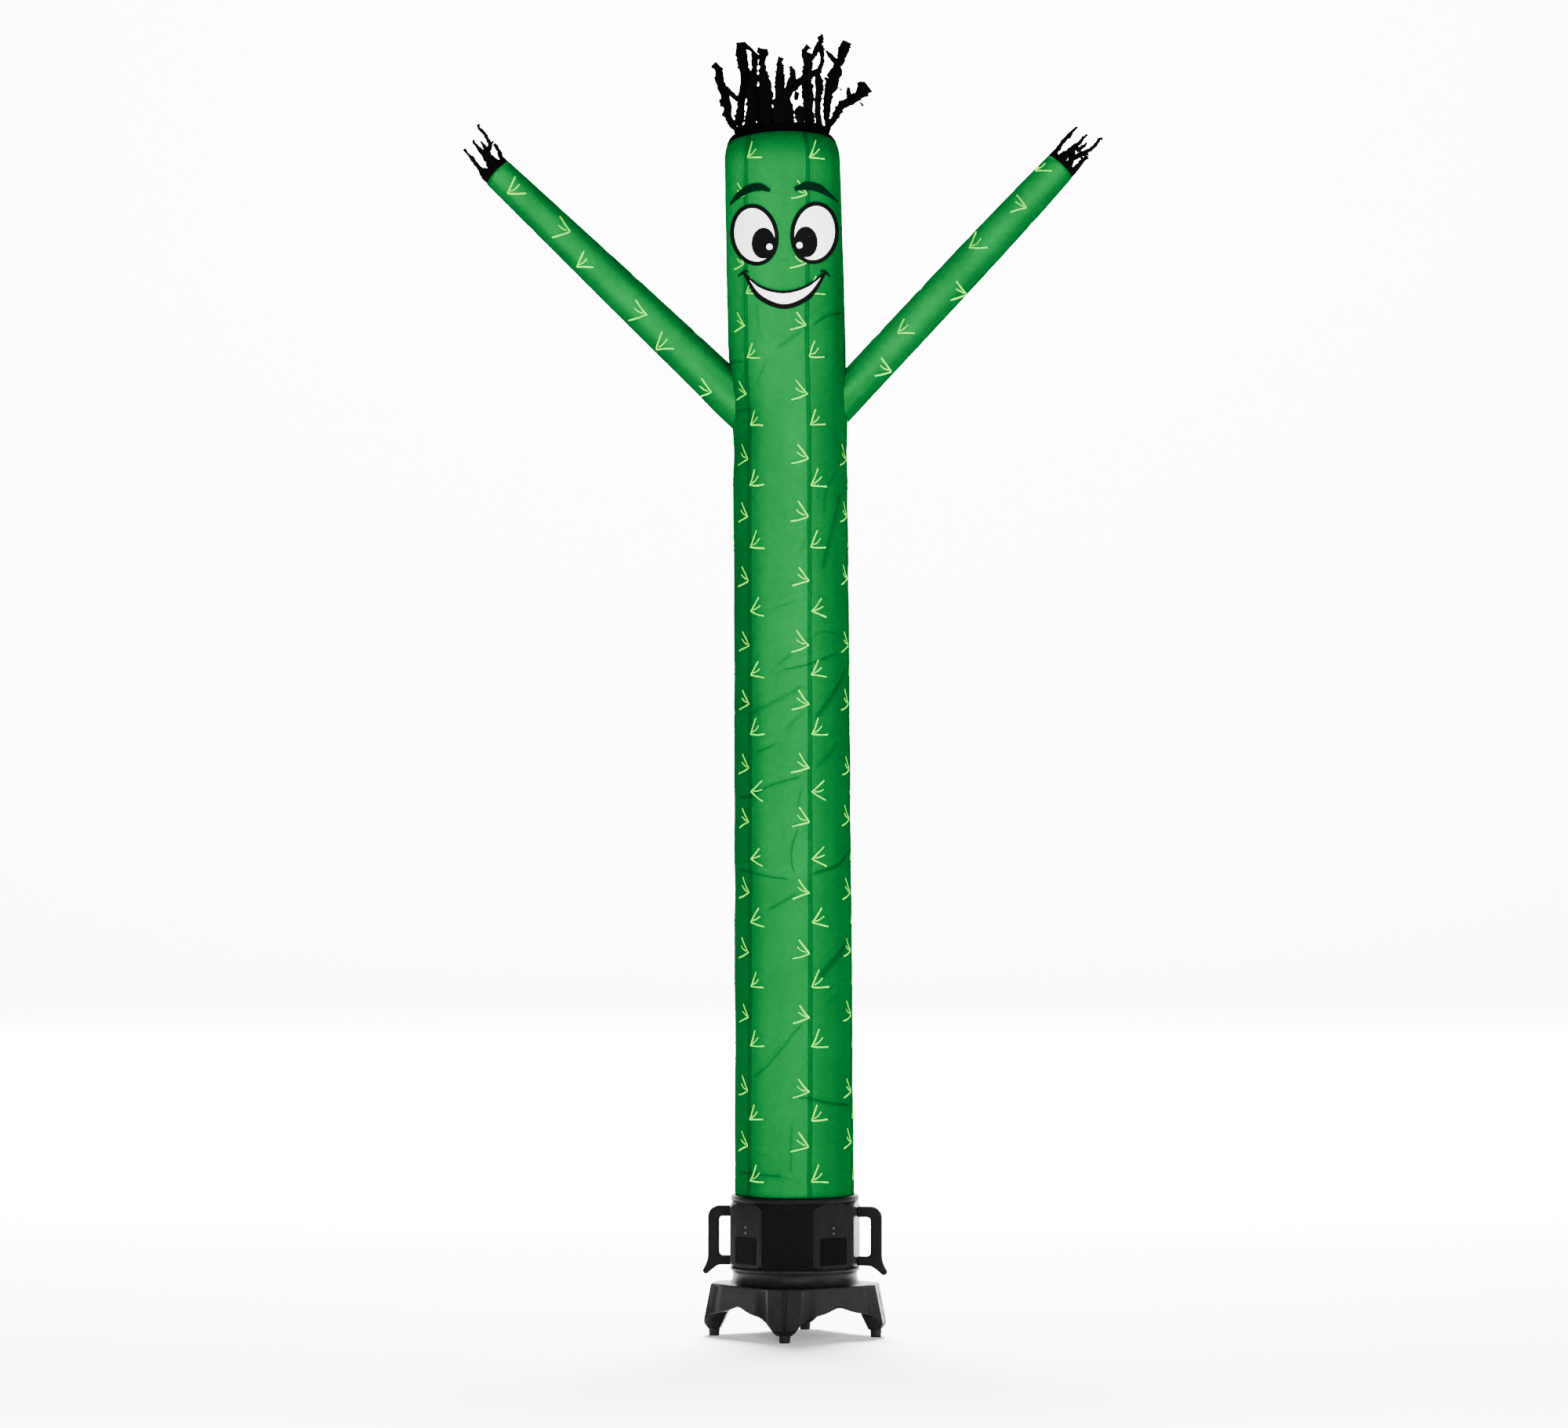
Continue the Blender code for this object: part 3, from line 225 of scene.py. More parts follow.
FINGER_TUFTS = {
    "left": locks(
        (10, 0, (23, 42, 12), (26, 55, 6), (28, 66, 2)), (30, 0, (34, 36, 6), (44, 43, 4), (50, 40, 6)),
        (12, 0, (6, 20, 16), (13, 34, 16), (23, 40, 12)),
    ),
    "right": locks(
        (6, 0, (3, 34, 12), (7, 48, 9), (9, 59, 7), (9, 69, 2)), (32, 0, (27, 38, 6), (27, 47, 4), (34, 49, 5)),
        (2, 0, (-3, 20, 15), (6, 29, 13)), (36, 0, (16, 31, 6), (24, 32, 5), (32, 31, 6)),
    ),
}
HAIR_RADIUS, HAIR_BAND, HAIR_CLEAR = 0.1270, 0.014, 0.0026
# How far over the shoulder the hair's band starts and ends, in degrees of its turn.
HAIR_LAP, HAIR_LAP_LESS, HAIR_LAP_LEAN, HAIR_LAP_END = 37, 27, 5, 76
HAIR_BARB, FINGER_BARB, BARB_ABOVE = 0.0035, 0.0012, 0.80  # a barb's size, and over what value one grows
FINGER_BAND, HAND_SLANT = 0.022, 0.0070
# How far locks lean out and stand off each other, how torn they are, at what steps, and how much is added
# to their charted width.
LOCK_FLARE, LOCK_STAGGER, LOCK_TORN, LOCK_STEP, LOCK_FRAY, LOCK_THICK = 0.010, 0.004, 0.09, 0.004, 0.003, 0.0009

# The spine marks' heights at every seam, in mm: those that point at it from the left, and from the right.
SPINE_HEIGHTS = (
    (2962, 2783, 2624, 2447, 2280, 2130, 1964, 1797, 1645, 1480, 1341, 1157, 1002, 835, 644, 502),
    (3057, 2707, 2542, 2367, 2211, 2051, 1885, 1721, 1567, 1419, 1245, 1081, 915, 761, 570, 411),
)
SPINE_TURNS = (0, 0, 0, 0, 0, 0, -15, -7, 0, -28, -22, -12, 0, 2, 2, 0)  # of those from the right, in degrees
# The strokes of both marks from the mark's point, as (away from the seam, up), in mm.
SPINE_STROKES = (
    (((0, 0), (12, 15), (27, 36)), ((0, 0), (22, -8), (44, -14)), ((8, 3), (20, 8), (30, 16))),
    (((0, 0), (8, 18), (18, 41)), ((0, 0), (22, -1), (45, -1)), ((6, 5), (16, 10), (28, 22))),
)
SPINE_WIDTH, SPINE_GAP, SPINE_SHIFT, SPINE_DRIFT = 0.0036, 0.0040, 0.003, 0.006
SPINE_UNEVEN, SPINE_THIN = 0.0012, 0.75  # how far its knots stray, and the width of the inner stroke
SPINE_LEFT_SEAM, SPINE_LEFT_TOP = 2, 2.3  # the photo shows none from the left over this, beside the face
# On the arms: the x and z of the mark's point, and which of the two marks it is.
ARM_SPINES = {
    "left": (
        (-0.745, 2.970, 1), (-0.583, 2.870, 0), (-0.566, 2.780, 1),
        (-0.385, 2.654, 0), (-0.361, 2.566, 1), (-0.217, 2.454, 0),
    ),
    "right": (
        (0.625, 3.030, 1), (0.600, 2.934, 0), (0.453, 2.828, 1),
        (0.446, 2.709, 0), (0.267, 2.608, 1), (0.250, 2.508, 0),
    ),
}

# ---- small helpers


def around(angle):
    """The direction at this angle from the front."""
    return Vector((sin(angle), -cos(angle), 0.0))


def wrapped(angle):
    """The angle brought to -pi to pi."""
    return (angle + pi) % (2 * pi) - pi


def spread(*values):
    """The values as arrays of one shape."""
    return np.broadcast_arrays(*[np.asarray(value, float) for value in values])


def clamped(value):
    """The value, held between 0 and 1."""
    return np.clip(value, 0, 1)


def bell(value, width):
    return np.exp(-((value / width) ** 2))


def unit(value):
    """The direction of a vector, or of each vector along the last axis."""
    return value / np.linalg.norm(value, axis=-1, keepdims=True)


def hashed(*numbers):
    """An uneven value from -1 to 1 that is the same at each run."""
    mixed = sin(sum(n * k for n, k in zip(numbers, (12.9898, 78.233, 37.719, 19.137)))) * 43758.5453
    return 2 * (mixed - floor(mixed)) - 1


def linked(name, data, place=(AXIS_X, 0.0, 0.0)):
    obj = bpy.data.objects.new(name, data)
    obj.location = place
    bpy.context.scene.collection.objects.link(obj)
    return obj


def smooth(mesh):
    mesh.polygons.foreach_set("use_smooth", [True] * len(mesh.polygons))


def from_bmesh(name, bm, material):
    mesh = bpy.data.meshes.new(name)
    bm.to_mesh(mesh)
    bm.free()
    mesh.materials.append(material)
    return linked(name, mesh)


def grid_faces(rows, columns, closed=False, skip=None):
    """Quads of a grid of points, as an array of corner numbers."""
    across = columns if closed else columns - 1
    r, c = np.meshgrid(np.arange(rows - 1), np.arange(across), indexing="ij")
    there = (c + 1) % columns
    quads = np.stack([r * columns + c, r * columns + there, (r + 1) * columns + there, (r + 1) * columns + c], -1)
    quads = quads.reshape(-1, 4)
    return quads if skip is None else quads[~skip.reshape(-1)]


def surface(name, points, material, closed=True, uv=None, skip=None):
    """A sheet through a grid of points, an array of rows of points. uv gives each column's and row's."""
    obj = joined(name, [points], material, [skip], closed)
    if uv is not None:
        rows, columns = points.shape[:2]
        quads = grid_faces(rows, columns, closed, skip)
        u, v = np.asarray(uv[0]), np.asarray(uv[1])
        c, r = quads % columns, quads // columns
        far = (c == 0) & ((np.roll(c, 1, 1) == columns - 1) | (np.roll(c, -1, 1) == columns - 1))
        set_uv(obj, np.stack([np.where(far, u[-1], u[c]), v[r]], -1))
    return obj


def joined(name, grids, material, skips=None, closed=False):
    """One mesh of several grids of points."""
    verts, faces = [], []
    for points, skip in zip(grids, skips or [None] * len(grids)):
        faces.extend((grid_faces(*points.shape[:2], closed, skip) + len(verts)).tolist())
        verts.extend(points.reshape(-1, 3).tolist())
    mesh = bpy.data.meshes.new(name)
    mesh.from_pydata(verts, [], faces)
    mesh.materials.append(material)
    smooth(mesh)
    return linked(name, mesh)


def set_uv(obj, pairs):
    layer = obj.data.uv_layers.new(name="Cloth")
    layer.data.foreach_set("uv", pairs.astype(np.float32).reshape(-1))


def mark(obj, name, values):
    """Keeps a value at each corner of the mesh for its material to read."""
    layer = obj.data.attributes.new(name, "FLOAT", "POINT")
    layer.data.foreach_set("value", np.asarray(values, np.float32).reshape(-1))


def solidify(obj, thickness, even=True):
    made = obj.modifiers.new("thickness", "SOLIDIFY")
    made.thickness, made.offset = thickness, -1.0
    if not even:
        made.use_even_offset = False


def welded(obj, distance=1e-6, outwards=True):
    """obj with its doubled points joined, and its faces turned outwards."""
    bm = bmesh.new()
    bm.from_mesh(obj.data)
    bmesh.ops.remove_doubles(bm, verts=bm.verts, dist=distance)
    if outwards:
        bmesh.ops.recalc_face_normals(bm, faces=bm.faces)
    bm.to_mesh(obj.data)
    bm.free()
    return obj


def settled(obj, sharp):
    """obj with its modifiers made part of its mesh, shaded smooth but for its sharp edges."""
    graph = bpy.context.evaluated_depsgraph_get()
    mesh = bpy.data.meshes.new_from_object(obj.evaluated_get(graph))
    obj.modifiers.clear()
    obj.data = mesh
    smooth(mesh)
    mesh.set_sharp_from_angle(angle=radians(sharp))
    return obj


def bevelled(obj, width, segments, angle, sharp):
    """obj with its edges of more than this angle made round, and settled."""
    edges = obj.modifiers.new("edges", "BEVEL")
    edges.width, edges.segments = width, segments
    edges.limit_method, edges.angle_limit = "ANGLE", radians(angle)
    edges.harden_normals = False
    bpy.context.view_layer.update()
    return settled(obj, sharp)


def show(obj, slot, *nodes):
    """Puts a finished piece in the frame, in place of its CAD nodes."""
    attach(obj, "root")
    if nodes:
        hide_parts(*nodes)
    return obj


# ---- materials


class Shader:
    """A Principled material with short ways to add the nodes that feed it."""

    def __init__(self, name, colour, roughness, specular=0.0):
        self.colour = (*colour, 1.0)
        self.material = bpy.data.materials.new(name)
        self.material.use_nodes = True
        self.tree = self.material.node_tree
        self.main = self.tree.nodes["Principled BSDF"]
        self.main.inputs["Base Color"].default_value = self.colour
        self.main.inputs["Roughness"].default_value = roughness
        self.main.inputs["Specular IOR Level"].default_value = specular

    def node(self, kind, inputs, **settings):
        """A new node. An input is given as a value or as another node's output."""
        made = self.tree.nodes.new(f"ShaderNode{kind}")
        for key, value in settings.items():
            setattr(made, key, value)
        for key, value in inputs.items():
            if isinstance(value, bpy.types.NodeSocket):
                self.tree.links.new(value, made.inputs[key])
            else:
                made.inputs[key].default_value = value
        return made

    def math(self, operation, *values):
        return self.node("Math", dict(enumerate(values)), operation=operation).outputs[0]

    def times(self, *values):
        return reduce(lambda one, other: self.math("MULTIPLY", one, other), values)

    def kept(self, name):
        """The values that mark() keeps on the mesh."""
        return self.node("Attribute", {}, attribute_name=name).outputs["Fac"]

    def noise(self, scale, detail, stretch=None):
        place = self.node("TexCoord", {}).outputs["Object"]
        if stretch:
            place = self.node("Mapping", {"Scale": stretch, "Vector": place}).outputs[0]
        return self.node("TexNoise", {"Scale": scale, "Detail": detail, "Vector": place}).outputs["Fac"]

    def span(self, value, low, high, to_low, to_high):
        """value from low to high, mapped to to_low to to_high and held there."""
        ends = {"From Min": low, "From Max": high, "To Min": to_low, "To Max": to_high}
        return self.node("MapRange", {"Value": value, **ends}).outputs[0]

    def ramp(self, value, stops):
        """The grey at value, from stops of (place, percent)."""
        made = self.node("ValToRGB", {0: value})
        band = made.color_ramp
        while len(band.elements) < len(stops):
            band.elements.new(0.5)
        for element, (place, percent) in zip(band.elements, stops):
            element.position = place
            element.color = (percent / 100, percent / 100, percent / 100, 1.0)
        return made.outputs[0]

    def tint(self, factor):
        """Multiplies the base colour."""
        made = self.node("Mix", {"Factor": 1.0, 6: self.colour, 7: factor}, data_type="RGBA", blend_type="MULTIPLY")
        self.tree.links.new(made.outputs[2], self.main.inputs["Base Color"])

    def bump(self, height, distance, strength=0.5):
        made = self.node("Bump", {"Distance": distance, "Strength": strength, "Height": height})
        self.tree.links.new(made.outputs[0], self.main.inputs["Normal"])


GREEN, NYLON_ROUGH = (0.000, 0.089, 0.0165), 0.6
SEAM_DARK, GROOVE_PAINTED_SHADE, CREASE_PAINTED_SHADE, VENT_PAINTED_SHADE = 0.66, 0.80, 0.55, 0.55  # factors of the green: the seam's dark band, and painted shade in its grooves, in the creases and up at the vent
BAND_FROM, BAND_TO = SEAM_HALF - 0.0016, SEAM_HALF + 0.0008  # half the seam's dark band, to its soft edge
# Where the painted shade of the groove along each edge of a seam band lies: its middle, and its soft width.
GROOVE_SHADE_AT, GROOVE_SHADE_FROM, GROOVE_SHADE_TO = SEAM_HALF * 0.72, 0.0008, 0.0024
WEAVE, WEAVE_DETAIL, WEAVE_BUMP = 900.0, 2.0, 0.0003
UNEVEN = (0.3, 0.7)  # the values of a noise that its tones run between
# How bright the green is, in percent: the gores' own uneven tone with painted light and shade round the tube and
# the head, at hundredths of a gore from the seam left of the face, and painted light and shade round an arm, at
# hundredths of the way from its lower side to its upper one. The back is painted darker against the light it gets.
BACK_PAINTED_SHADE = ((200, 37), (260, 36), (350, 34), (450, 35), (500, 36))
TUBE_TONE_AND_SHADE = (
    (0, 47), (10, 48), (20, 60), (28, 70), (36, 77), (58, 79), (70, 83), (96, 83), (100, 70), (104, 66), (118, 56),
    (130, 48), (144, 44), (159, 37), *BACK_PAINTED_SHADE, (540, 38), (564, 37), (587, 38), (600, 40),
)
HEAD_TONE_AND_SHADE = (
    (0, 79), (20, 92), (31, 99), (41, 100), (50, 96), (60, 90), (78, 88), (88, 83), (97, 81), (103, 73), (120, 67),
    (133, 59), (147, 53), (164, 38), *BACK_PAINTED_SHADE, (550, 75), (579, 83), (600, 83),
)
HEAD_STARTS, HEAD_WHOLE = 2.42, 2.58  # the heights between which the head's tone and painted shade take over
ARM_PAINTED_SHADE = {
    "left": (
        (2, 30), (6, 34), (10, 38), (15, 45), (20, 53), (30, 82), (40, 95), (60, 95), (70, 88), (80, 62), (85, 46),
        (90, 29), (94, 20), (100, 16),
    ),
    "right": (
        (2, 24), (6, 31), (15, 36), (20, 41), (30, 60), (40, 80), (50, 94), (60, 97), (70, 97), (80, 86), (85, 74),
        (90, 52), (94, 38), (100, 24),
    ),
}


def tube_nylon():
    """Green nylon with painted light and shade: gores of uneven tone, and at each seam a dark band with painted groove
    shade along each edge.
    """
    shader = Shader("nylon_green", GREEN, NYLON_ROUGH)
    math, span = shader.math, shader.span
    place = shader.node("SeparateXYZ", {0: shader.node("UVMap", {}, uv_map="Cloth").outputs[0]})
    gores, height = place.outputs[0], place.outputs[1]
    off = math("SUBTRACT", math("FRACT", math("ADD", gores, 0.5)), 0.5)
    off = math("ABSOLUTE", math("SUBTRACT", math("MULTIPLY", off, GORE * CLOTH_RADIUS), SEAM_SHIFT))
    band = span(off, BAND_FROM, BAND_TO, SEAM_DARK, 1.0)
    # Painted shade in the grooves along the band's edges; the same line also dents the bump.
    line = span(math("ABSOLUTE", math("SUBTRACT", off, GROOVE_SHADE_AT)), GROOVE_SHADE_FROM, GROOVE_SHADE_TO, GROOVE_PAINTED_SHADE, 1.0)
    # Painted light and shade round the tube and the head, over the gores' own uneven tone.
    turn = math("FRACT", math("DIVIDE", gores, float(PANELS)))
    body, head = [shader.ramp(turn, [(g / 100 / PANELS, tone) for g, tone in tones]) for tones in (TUBE_TONE_AND_SHADE, HEAD_TONE_AND_SHADE)]
    share = span(height, HEAD_STARTS, HEAD_WHOLE, 0.0, 1.0)
    tone = math("ADD", math("MULTIPLY", body, math("SUBTRACT", 1.0, share)), math("MULTIPLY", head, share))
    # Painted shade: the green darker towards the vent at the top of the head.
    vent = span(height, SHOULDER_Z - 0.02, VENT_Z, 1.0, VENT_PAINTED_SHADE)
    mottle = span(shader.noise(5.0, 4.0, (1.0, 1.0, 0.55)), *UNEVEN, 0.84, 1.06)
    # Painted shade in the creases, from the values that the folds keep on their mesh.
    painted_crease_shade = span(shader.kept("crease"), 0.0, 1.0, 1.0, CREASE_PAINTED_SHADE)
    shader.tint(shader.times(band, line, tone, vent, mottle, painted_crease_shade))
    weave = math("MULTIPLY", shader.noise(WEAVE, WEAVE_DETAIL), 0.25)
    shader.bump(math("ADD", weave, math("MULTIPLY", line, 0.6)), 0.0010)
    return shader.material


def arm_nylon(side):
    shader = Shader(f"nylon_green_arm_{side}", GREEN, NYLON_ROUGH)
    mottle = shader.span(shader.noise(9.0, 4.0), *UNEVEN, 0.82, 1.04)
    # Painted light and shade round the arm, by how far up or down each side of it faces.
    stops = [(place / 100, tone) for place, tone in ARM_PAINTED_SHADE[side]]
    shader.tint(shader.times(mottle, shader.ramp(shader.span(shader.kept("upward"), -1.0, 1.0, 0.0, 1.0), stops)))
    shader.bump(shader.noise(WEAVE, WEAVE_DETAIL), WEAVE_BUMP)
    return shader.material


def black_nylon():
    shader = Shader("nylon_black", (0.0008, 0.0008, 0.0008), 0.7)
    shader.bump(shader.noise(700.0, WEAVE_DETAIL), WEAVE_BUMP)
    return shader.material


def moulded_plastic(name, colour, specular):
    """Black plastic with a fine grain and slightly worn tone."""
    shader = Shader(name, colour, 0.40, specular)
    shader.tint(shader.span(shader.noise(40.0, 5.0), *UNEVEN, 0.80, 1.15))
    gloss = shader.span(shader.noise(60.0, 4.0), *UNEVEN, 0.32, 0.42)
    shader.tree.links.new(gloss, shader.main.inputs["Roughness"])
    shader.bump(shader.noise(950.0, 3.0), 0.0005, 0.6)
    return shader.material


# ---- lines


def curve_through(knots, steps=40):
    """A smooth line through (x, z) knots, or a straight one between two, as an array of points."""
    if len(knots) == 2:
        return np.linspace(knots[0], knots[1], steps)
    knots = np.array(knots)
    at = np.concatenate([[0], np.cumsum(np.hypot(*np.diff(knots, axis=0).T))])
    share = np.linspace(0, at[-1], steps)
    slope = np.gradient(knots, at, axis=0)
    i = np.clip(np.searchsorted(at, share) - 1, 0, len(at) - 2)
    h = (at[i + 1] - at[i])[:, None]
    t = ((share - at[i]) / (at[i + 1] - at[i]))[:, None]
    line = (2 * t**3 - 3 * t**2 + 1) * knots[i] + (t**3 - 2 * t**2 + t) * h * slope[i]
    return line + (3 * t**2 - 2 * t**3) * knots[i + 1] + (t**3 - t**2) * h * slope[i + 1]


def ways(line):
    """The direction of a line at each of its points."""
    return unit(np.gradient(line, axis=0))


def pen_line(knots, widths, place, steps=40):
    """A stroke whose width goes through the given widths, as a grid of points put by place(x, z)."""
    line = curve_through(knots, steps)
    way = ways(line)
    across = np.stack([way[:, 1], -way[:, 0]], -1)
    half = np.interp(np.linspace(0, 1, steps), np.linspace(0, 1, len(widths)), widths)[:, None] / 2
    share = np.linspace(-1, 1, 5)[None, :, None]
    points = line[:, None, :] + across[:, None, :] * half[:, None, :] * share
    return place(points[..., 0], points[..., 1])


# ---- the tube


def crease_depth(angle, z, radius):
    """How far the creases push the cloth in, as soft valleys."""
    total = np.zeros(np.broadcast(angle, z).shape)
    for crease in CREASES:
        nearest = np.full(total.shape, 1e9)
        for (here, low), (there, high) in zip(crease.path, crease.path[1:]):
            level, up = wrapped(angle - radians(here)) * radius, z - low
            run, rise = radians(there - here) * radius, high - low
            share = clamped((level * run + up * rise) / (run**2 + rise**2))
            nearest = np.minimum(nearest, np.hypot(level - share * run, up - share * rise))
        total += CREASE_DEPTH * crease.dark * bell(nearest, CREASE_VALLEY)
    return total


def trough_depth(angle, z, radius):
    total = np.zeros(np.broadcast(angle, z).shape)
    for middle, height, long, wide, turn, depth in TROUGHS:
        level, up = wrapped(angle - radians(middle)) * radius, z - height / 1000
        turn = radians(turn)
        along, across = level * cos(turn) + up * sin(turn), up * cos(turn) - level * sin(turn)
        total += depth / 1000 * bell(along * 1000, long) * bell(across * 1000, wide)
    return total


def tube_middle(z):
    return np.interp(z, STATION_Z, STATION_LEAN)


def tube_twist(z):
    return np.interp(z, STATION_Z, np.radians(STATION_TWIST))


def gore_at(angle):
    """How many gores from the seam left of the face this angle is, where the tube isn't twisted."""
    return np.interp(angle, SEAM_TURNS, np.arange(len(SEAM_TURNS)) - PANELS)


def tube_radius(angle, z):
    radius = np.interp(z, STATION_Z, STATION_RADIUS)
    plain = angle - tube_twist(z)
    pinch = SEAM_PINCH * (1 + np.cos(gore_at(wrapped(plain)) * 2 * pi)) / 2
    off = np.abs(wrapped(plain[..., None] - SEAMS)).min(-1)
    band = clamped((SEAM_HALF + SEAM_EDGE / 2 - off * radius) / SEAM_EDGE)
    uneven = WAVINESS * np.sin(7 * angle + 11 * z) * np.sin(23 * z - 3 * angle)
    calm = clamped((z - HEM_Z) / HEM_CALM)
    worn = trough_depth(angle, z, radius) + calm * (crease_depth(angle, z, radius) + uneven)
    return radius - pinch + band * SEAM_RAISE - worn


def tube_points(angle, z, turn=0.0, away=0.0):
    """Points on the tube or off it along its normal. Above the shoulder they are placed by their turn."""
    angle, z, turn = spread(angle, z, turn)
    radius = tube_radius(angle, z)
    inwards = radius - VENT_RADIUS
    rise = VENT_Z - SHOULDER_Z
    normal_out, normal_up = rise * np.cos(turn), inwards * np.sin(turn)
    size = np.hypot(normal_out, normal_up)
    reach = radius + normal_out / size * away - inwards * (1 - np.cos(turn))
    height = z + rise * np.sin(turn) + VENT_TILT * np.cos(angle) * (1 - np.cos(turn)) + normal_up / size * away
    return np.stack([tube_middle(height) + np.sin(angle) * reach, -np.cos(angle) * reach, height], -1)


def on_front(x, z, away):
    """Points on the tube that are seen at (x, z) from straight in front."""
    x, z = spread(x, z)
    angle = np.zeros(x.shape)
    for _ in range(5):
        angle = np.arcsin(np.clip((x - tube_middle(z)) / (tube_radius(angle, z) + away), -0.999, 0.999))
    return tube_points(angle, z, 0.0, away)


def in_armhole(limbs, points):
    return np.any([limb.holds(points) for limb in limbs], axis=0)


def make_tube(limbs, material):
    edge = np.array(SEAM_COLUMNS) * SEAM_HALF / CLOTH_RADIUS
    columns = []
    for here, there in zip(SEAMS, [*SEAMS[1:], SEAMS[0] + 2 * pi]):
        plain = np.linspace(here + edge[-1], there - edge[-1], GORE_STEPS + 1)
        columns += [*(here + edge[:-1]), *plain, *(there - edge[2:0:-1])]
    columns = np.array(columns)
    straight = np.linspace(HEM_Z, SHOULDER_Z, TUBE_ROWS + 1)
    turns = np.linspace(0, pi / 2, SHOULDER_ROWS + 1)[1:]
    z = np.concatenate([straight, np.full(len(turns), SHOULDER_Z)])[:, None]
    turn = np.concatenate([np.zeros(len(straight)), turns])[:, None]
    points = tube_points(columns[None, :] + tube_twist(z), z, turn)
    around_it = points + np.roll(points, -1, 1)
    skip = in_armhole(limbs, (around_it[:-1] + around_it[1:]) / 4)
    heights = np.concatenate([straight, SHOULDER_Z + SHOULDER_RISE * np.sin(turns)])
    tube = surface("tube", points, material, uv=([*gore_at(columns), float(PANELS)], heights), skip=skip)
    # The tube's own mesh carries no painted crease shade.
    mark(tube, "crease", np.zeros(points.shape[:2]))
    solidify(tube, CLOTH)
    return show(tube, "green_nylon", *[f"panel_{number + 1}" for number in range(PANELS)])


def make_folds(limbs, material):
    """The cloth beside each crease, finer than the tube: a thin furrow and shade on one side of it, both painted shade.
    """
    grids, skips, painted_crease_shades, pairs = [], [], [], []
    share = np.linspace(-1, 1, FOLD_COLUMNS)
    off = CREASE_HALF * np.sign(share) * np.abs(share) ** 1.6
    ends = clamped((1 - np.abs(share)) * 4)
    for dark, wide, side, path in CREASES:
        knots = [(radians(angle) * CLOTH_RADIUS, z) for angle, z in path]
        length = sum(hypot(b[0] - a[0], b[1] - a[1]) for a, b in zip(knots, knots[1:]))
        line = curve_through(knots, max(4, round(length / FOLD_STEP)))
        way, along = ways(line), np.linspace(0, length, len(line))
        angle = (line[:, 0, None] - way[:, 1, None] * off) / CLOTH_RADIUS
        z = line[:, 1, None] + way[:, 0, None] * off
        fade = clamped(np.minimum(along, length - along) / FOLD_FADE)[:, None]
        # Painted shade: a dark line along the crease, and a soft dark side beside it.
        painted_crease_shade = bell(off, CREASE_LINE * wide)
        shade = clamped(off * side / FOLD_SHARP) * np.exp(-np.abs(off) / (CREASE_SHADE * wide))
        lift = bell(off * side + FOLD_RIDGE, FOLD_RIDGE_HALF)
        points = tube_points(angle, z, 0.0, FOLD_OFF + FOLD_LIFT * dark * fade * lift)
        inside = in_armhole(limbs, points)
        grids.append(points)
        skips.append(inside[:-1, :-1] | inside[1:, :-1] | inside[:-1, 1:] | inside[1:, 1:])
        painted_crease_shades.append((dark * fade * (painted_crease_shade + 0.5 * shade * ends)).reshape(-1))
        pairs.append(np.stack([gore_at(angle - tube_twist(z)), z], -1).reshape(-1, 2))
    folds = joined("cloth_folds", grids, material, skips)
    corners = np.empty(len(folds.data.loops), np.int32)
    folds.data.loops.foreach_get("vertex_index", corners)
    set_uv(folds, np.concatenate(pairs)[corners])
    mark(folds, "crease", np.concatenate(painted_crease_shades))
    return show(folds, "green_nylon")


# ---- the arms


class Limb:
    """The straight line of an arm, from its root to its hand, with a direction to each side of it."""

    def __init__(self, arm):
        self.arm = arm
        self.root = np.array([arm.root[0], 0.0, arm.root[1]])
        line = np.array([arm.hand[0], 0.0, arm.hand[1]]) - self.root
        self.length = float(np.linalg.norm(line))
        self.along = line / self.length
        self.side = np.cross([0, 1, 0], self.along)

    def radius(self, distance):
        return np.interp(distance / self.length, ARM_SHARES, self.arm.radii)

    def points(self, angle, distance, away=0.0):
        """angle is 0 at the front and grows towards the upper side of the left arm."""
        angle, distance = spread(angle, distance)
        out = np.sin(angle)[..., None] * self.side - np.cos(angle)[..., None] * np.array([0, 1, 0])
        reach = self.radius(distance) + self.folds(angle, distance) + away
        return self.root + distance[..., None] * self.along + out * reach[..., None]

    def folds(self, angle, distance):
        """Puckers that run out from the armhole, and a few soft creases along the arm."""
        lean = 1 if self.arm.side == "left" else -1
        total = PUCKER * np.exp(-np.clip(distance, 0, None) / PUCKER_REACH) * np.sin(9 * angle + 2.1 * lean)
        for middle, slant, width, depth in ARM_FOLDS:
            off = distance - middle - slant * 0.05 * np.sin(angle + middle * 9 * lean)
            reach = 0.5 + 0.5 * np.cos(angle - lean * middle * 5)
            total = total - depth * reach * (bell(off, width) - 0.4 * bell(off, 2.5 * width))
        return total * clamped((self.length - distance) / 0.04)

    def holds(self, points):
        """Which points lie inside the root of the arm, where the armhole is."""
        off = points - self.root
        along = off @ self.along
        across = np.linalg.norm(off - along[..., None] * self.along, axis=-1)
        return (across < self.radius(along) - HOLE_INSET) & (along > HOLE_FROM) & (along < HOLE_TO)

    def start(self, angle):
        """How far along the arm leaves the tube, at each angle round it."""
        low, high = np.full(angle.shape, -0.10), np.full(angle.shape, 0.20)
        for _ in range(24):
            half = (low + high) / 2
            p = self.points(angle, half)
            x = p[..., 0] - tube_middle(p[..., 2])
            inside = np.hypot(x, p[..., 1]) < tube_radius(np.arctan2(x, -p[..., 1]), p[..., 2]) - ROOT_SINK
            low, high = np.where(inside, half, low), np.where(inside, high, half)
        return low


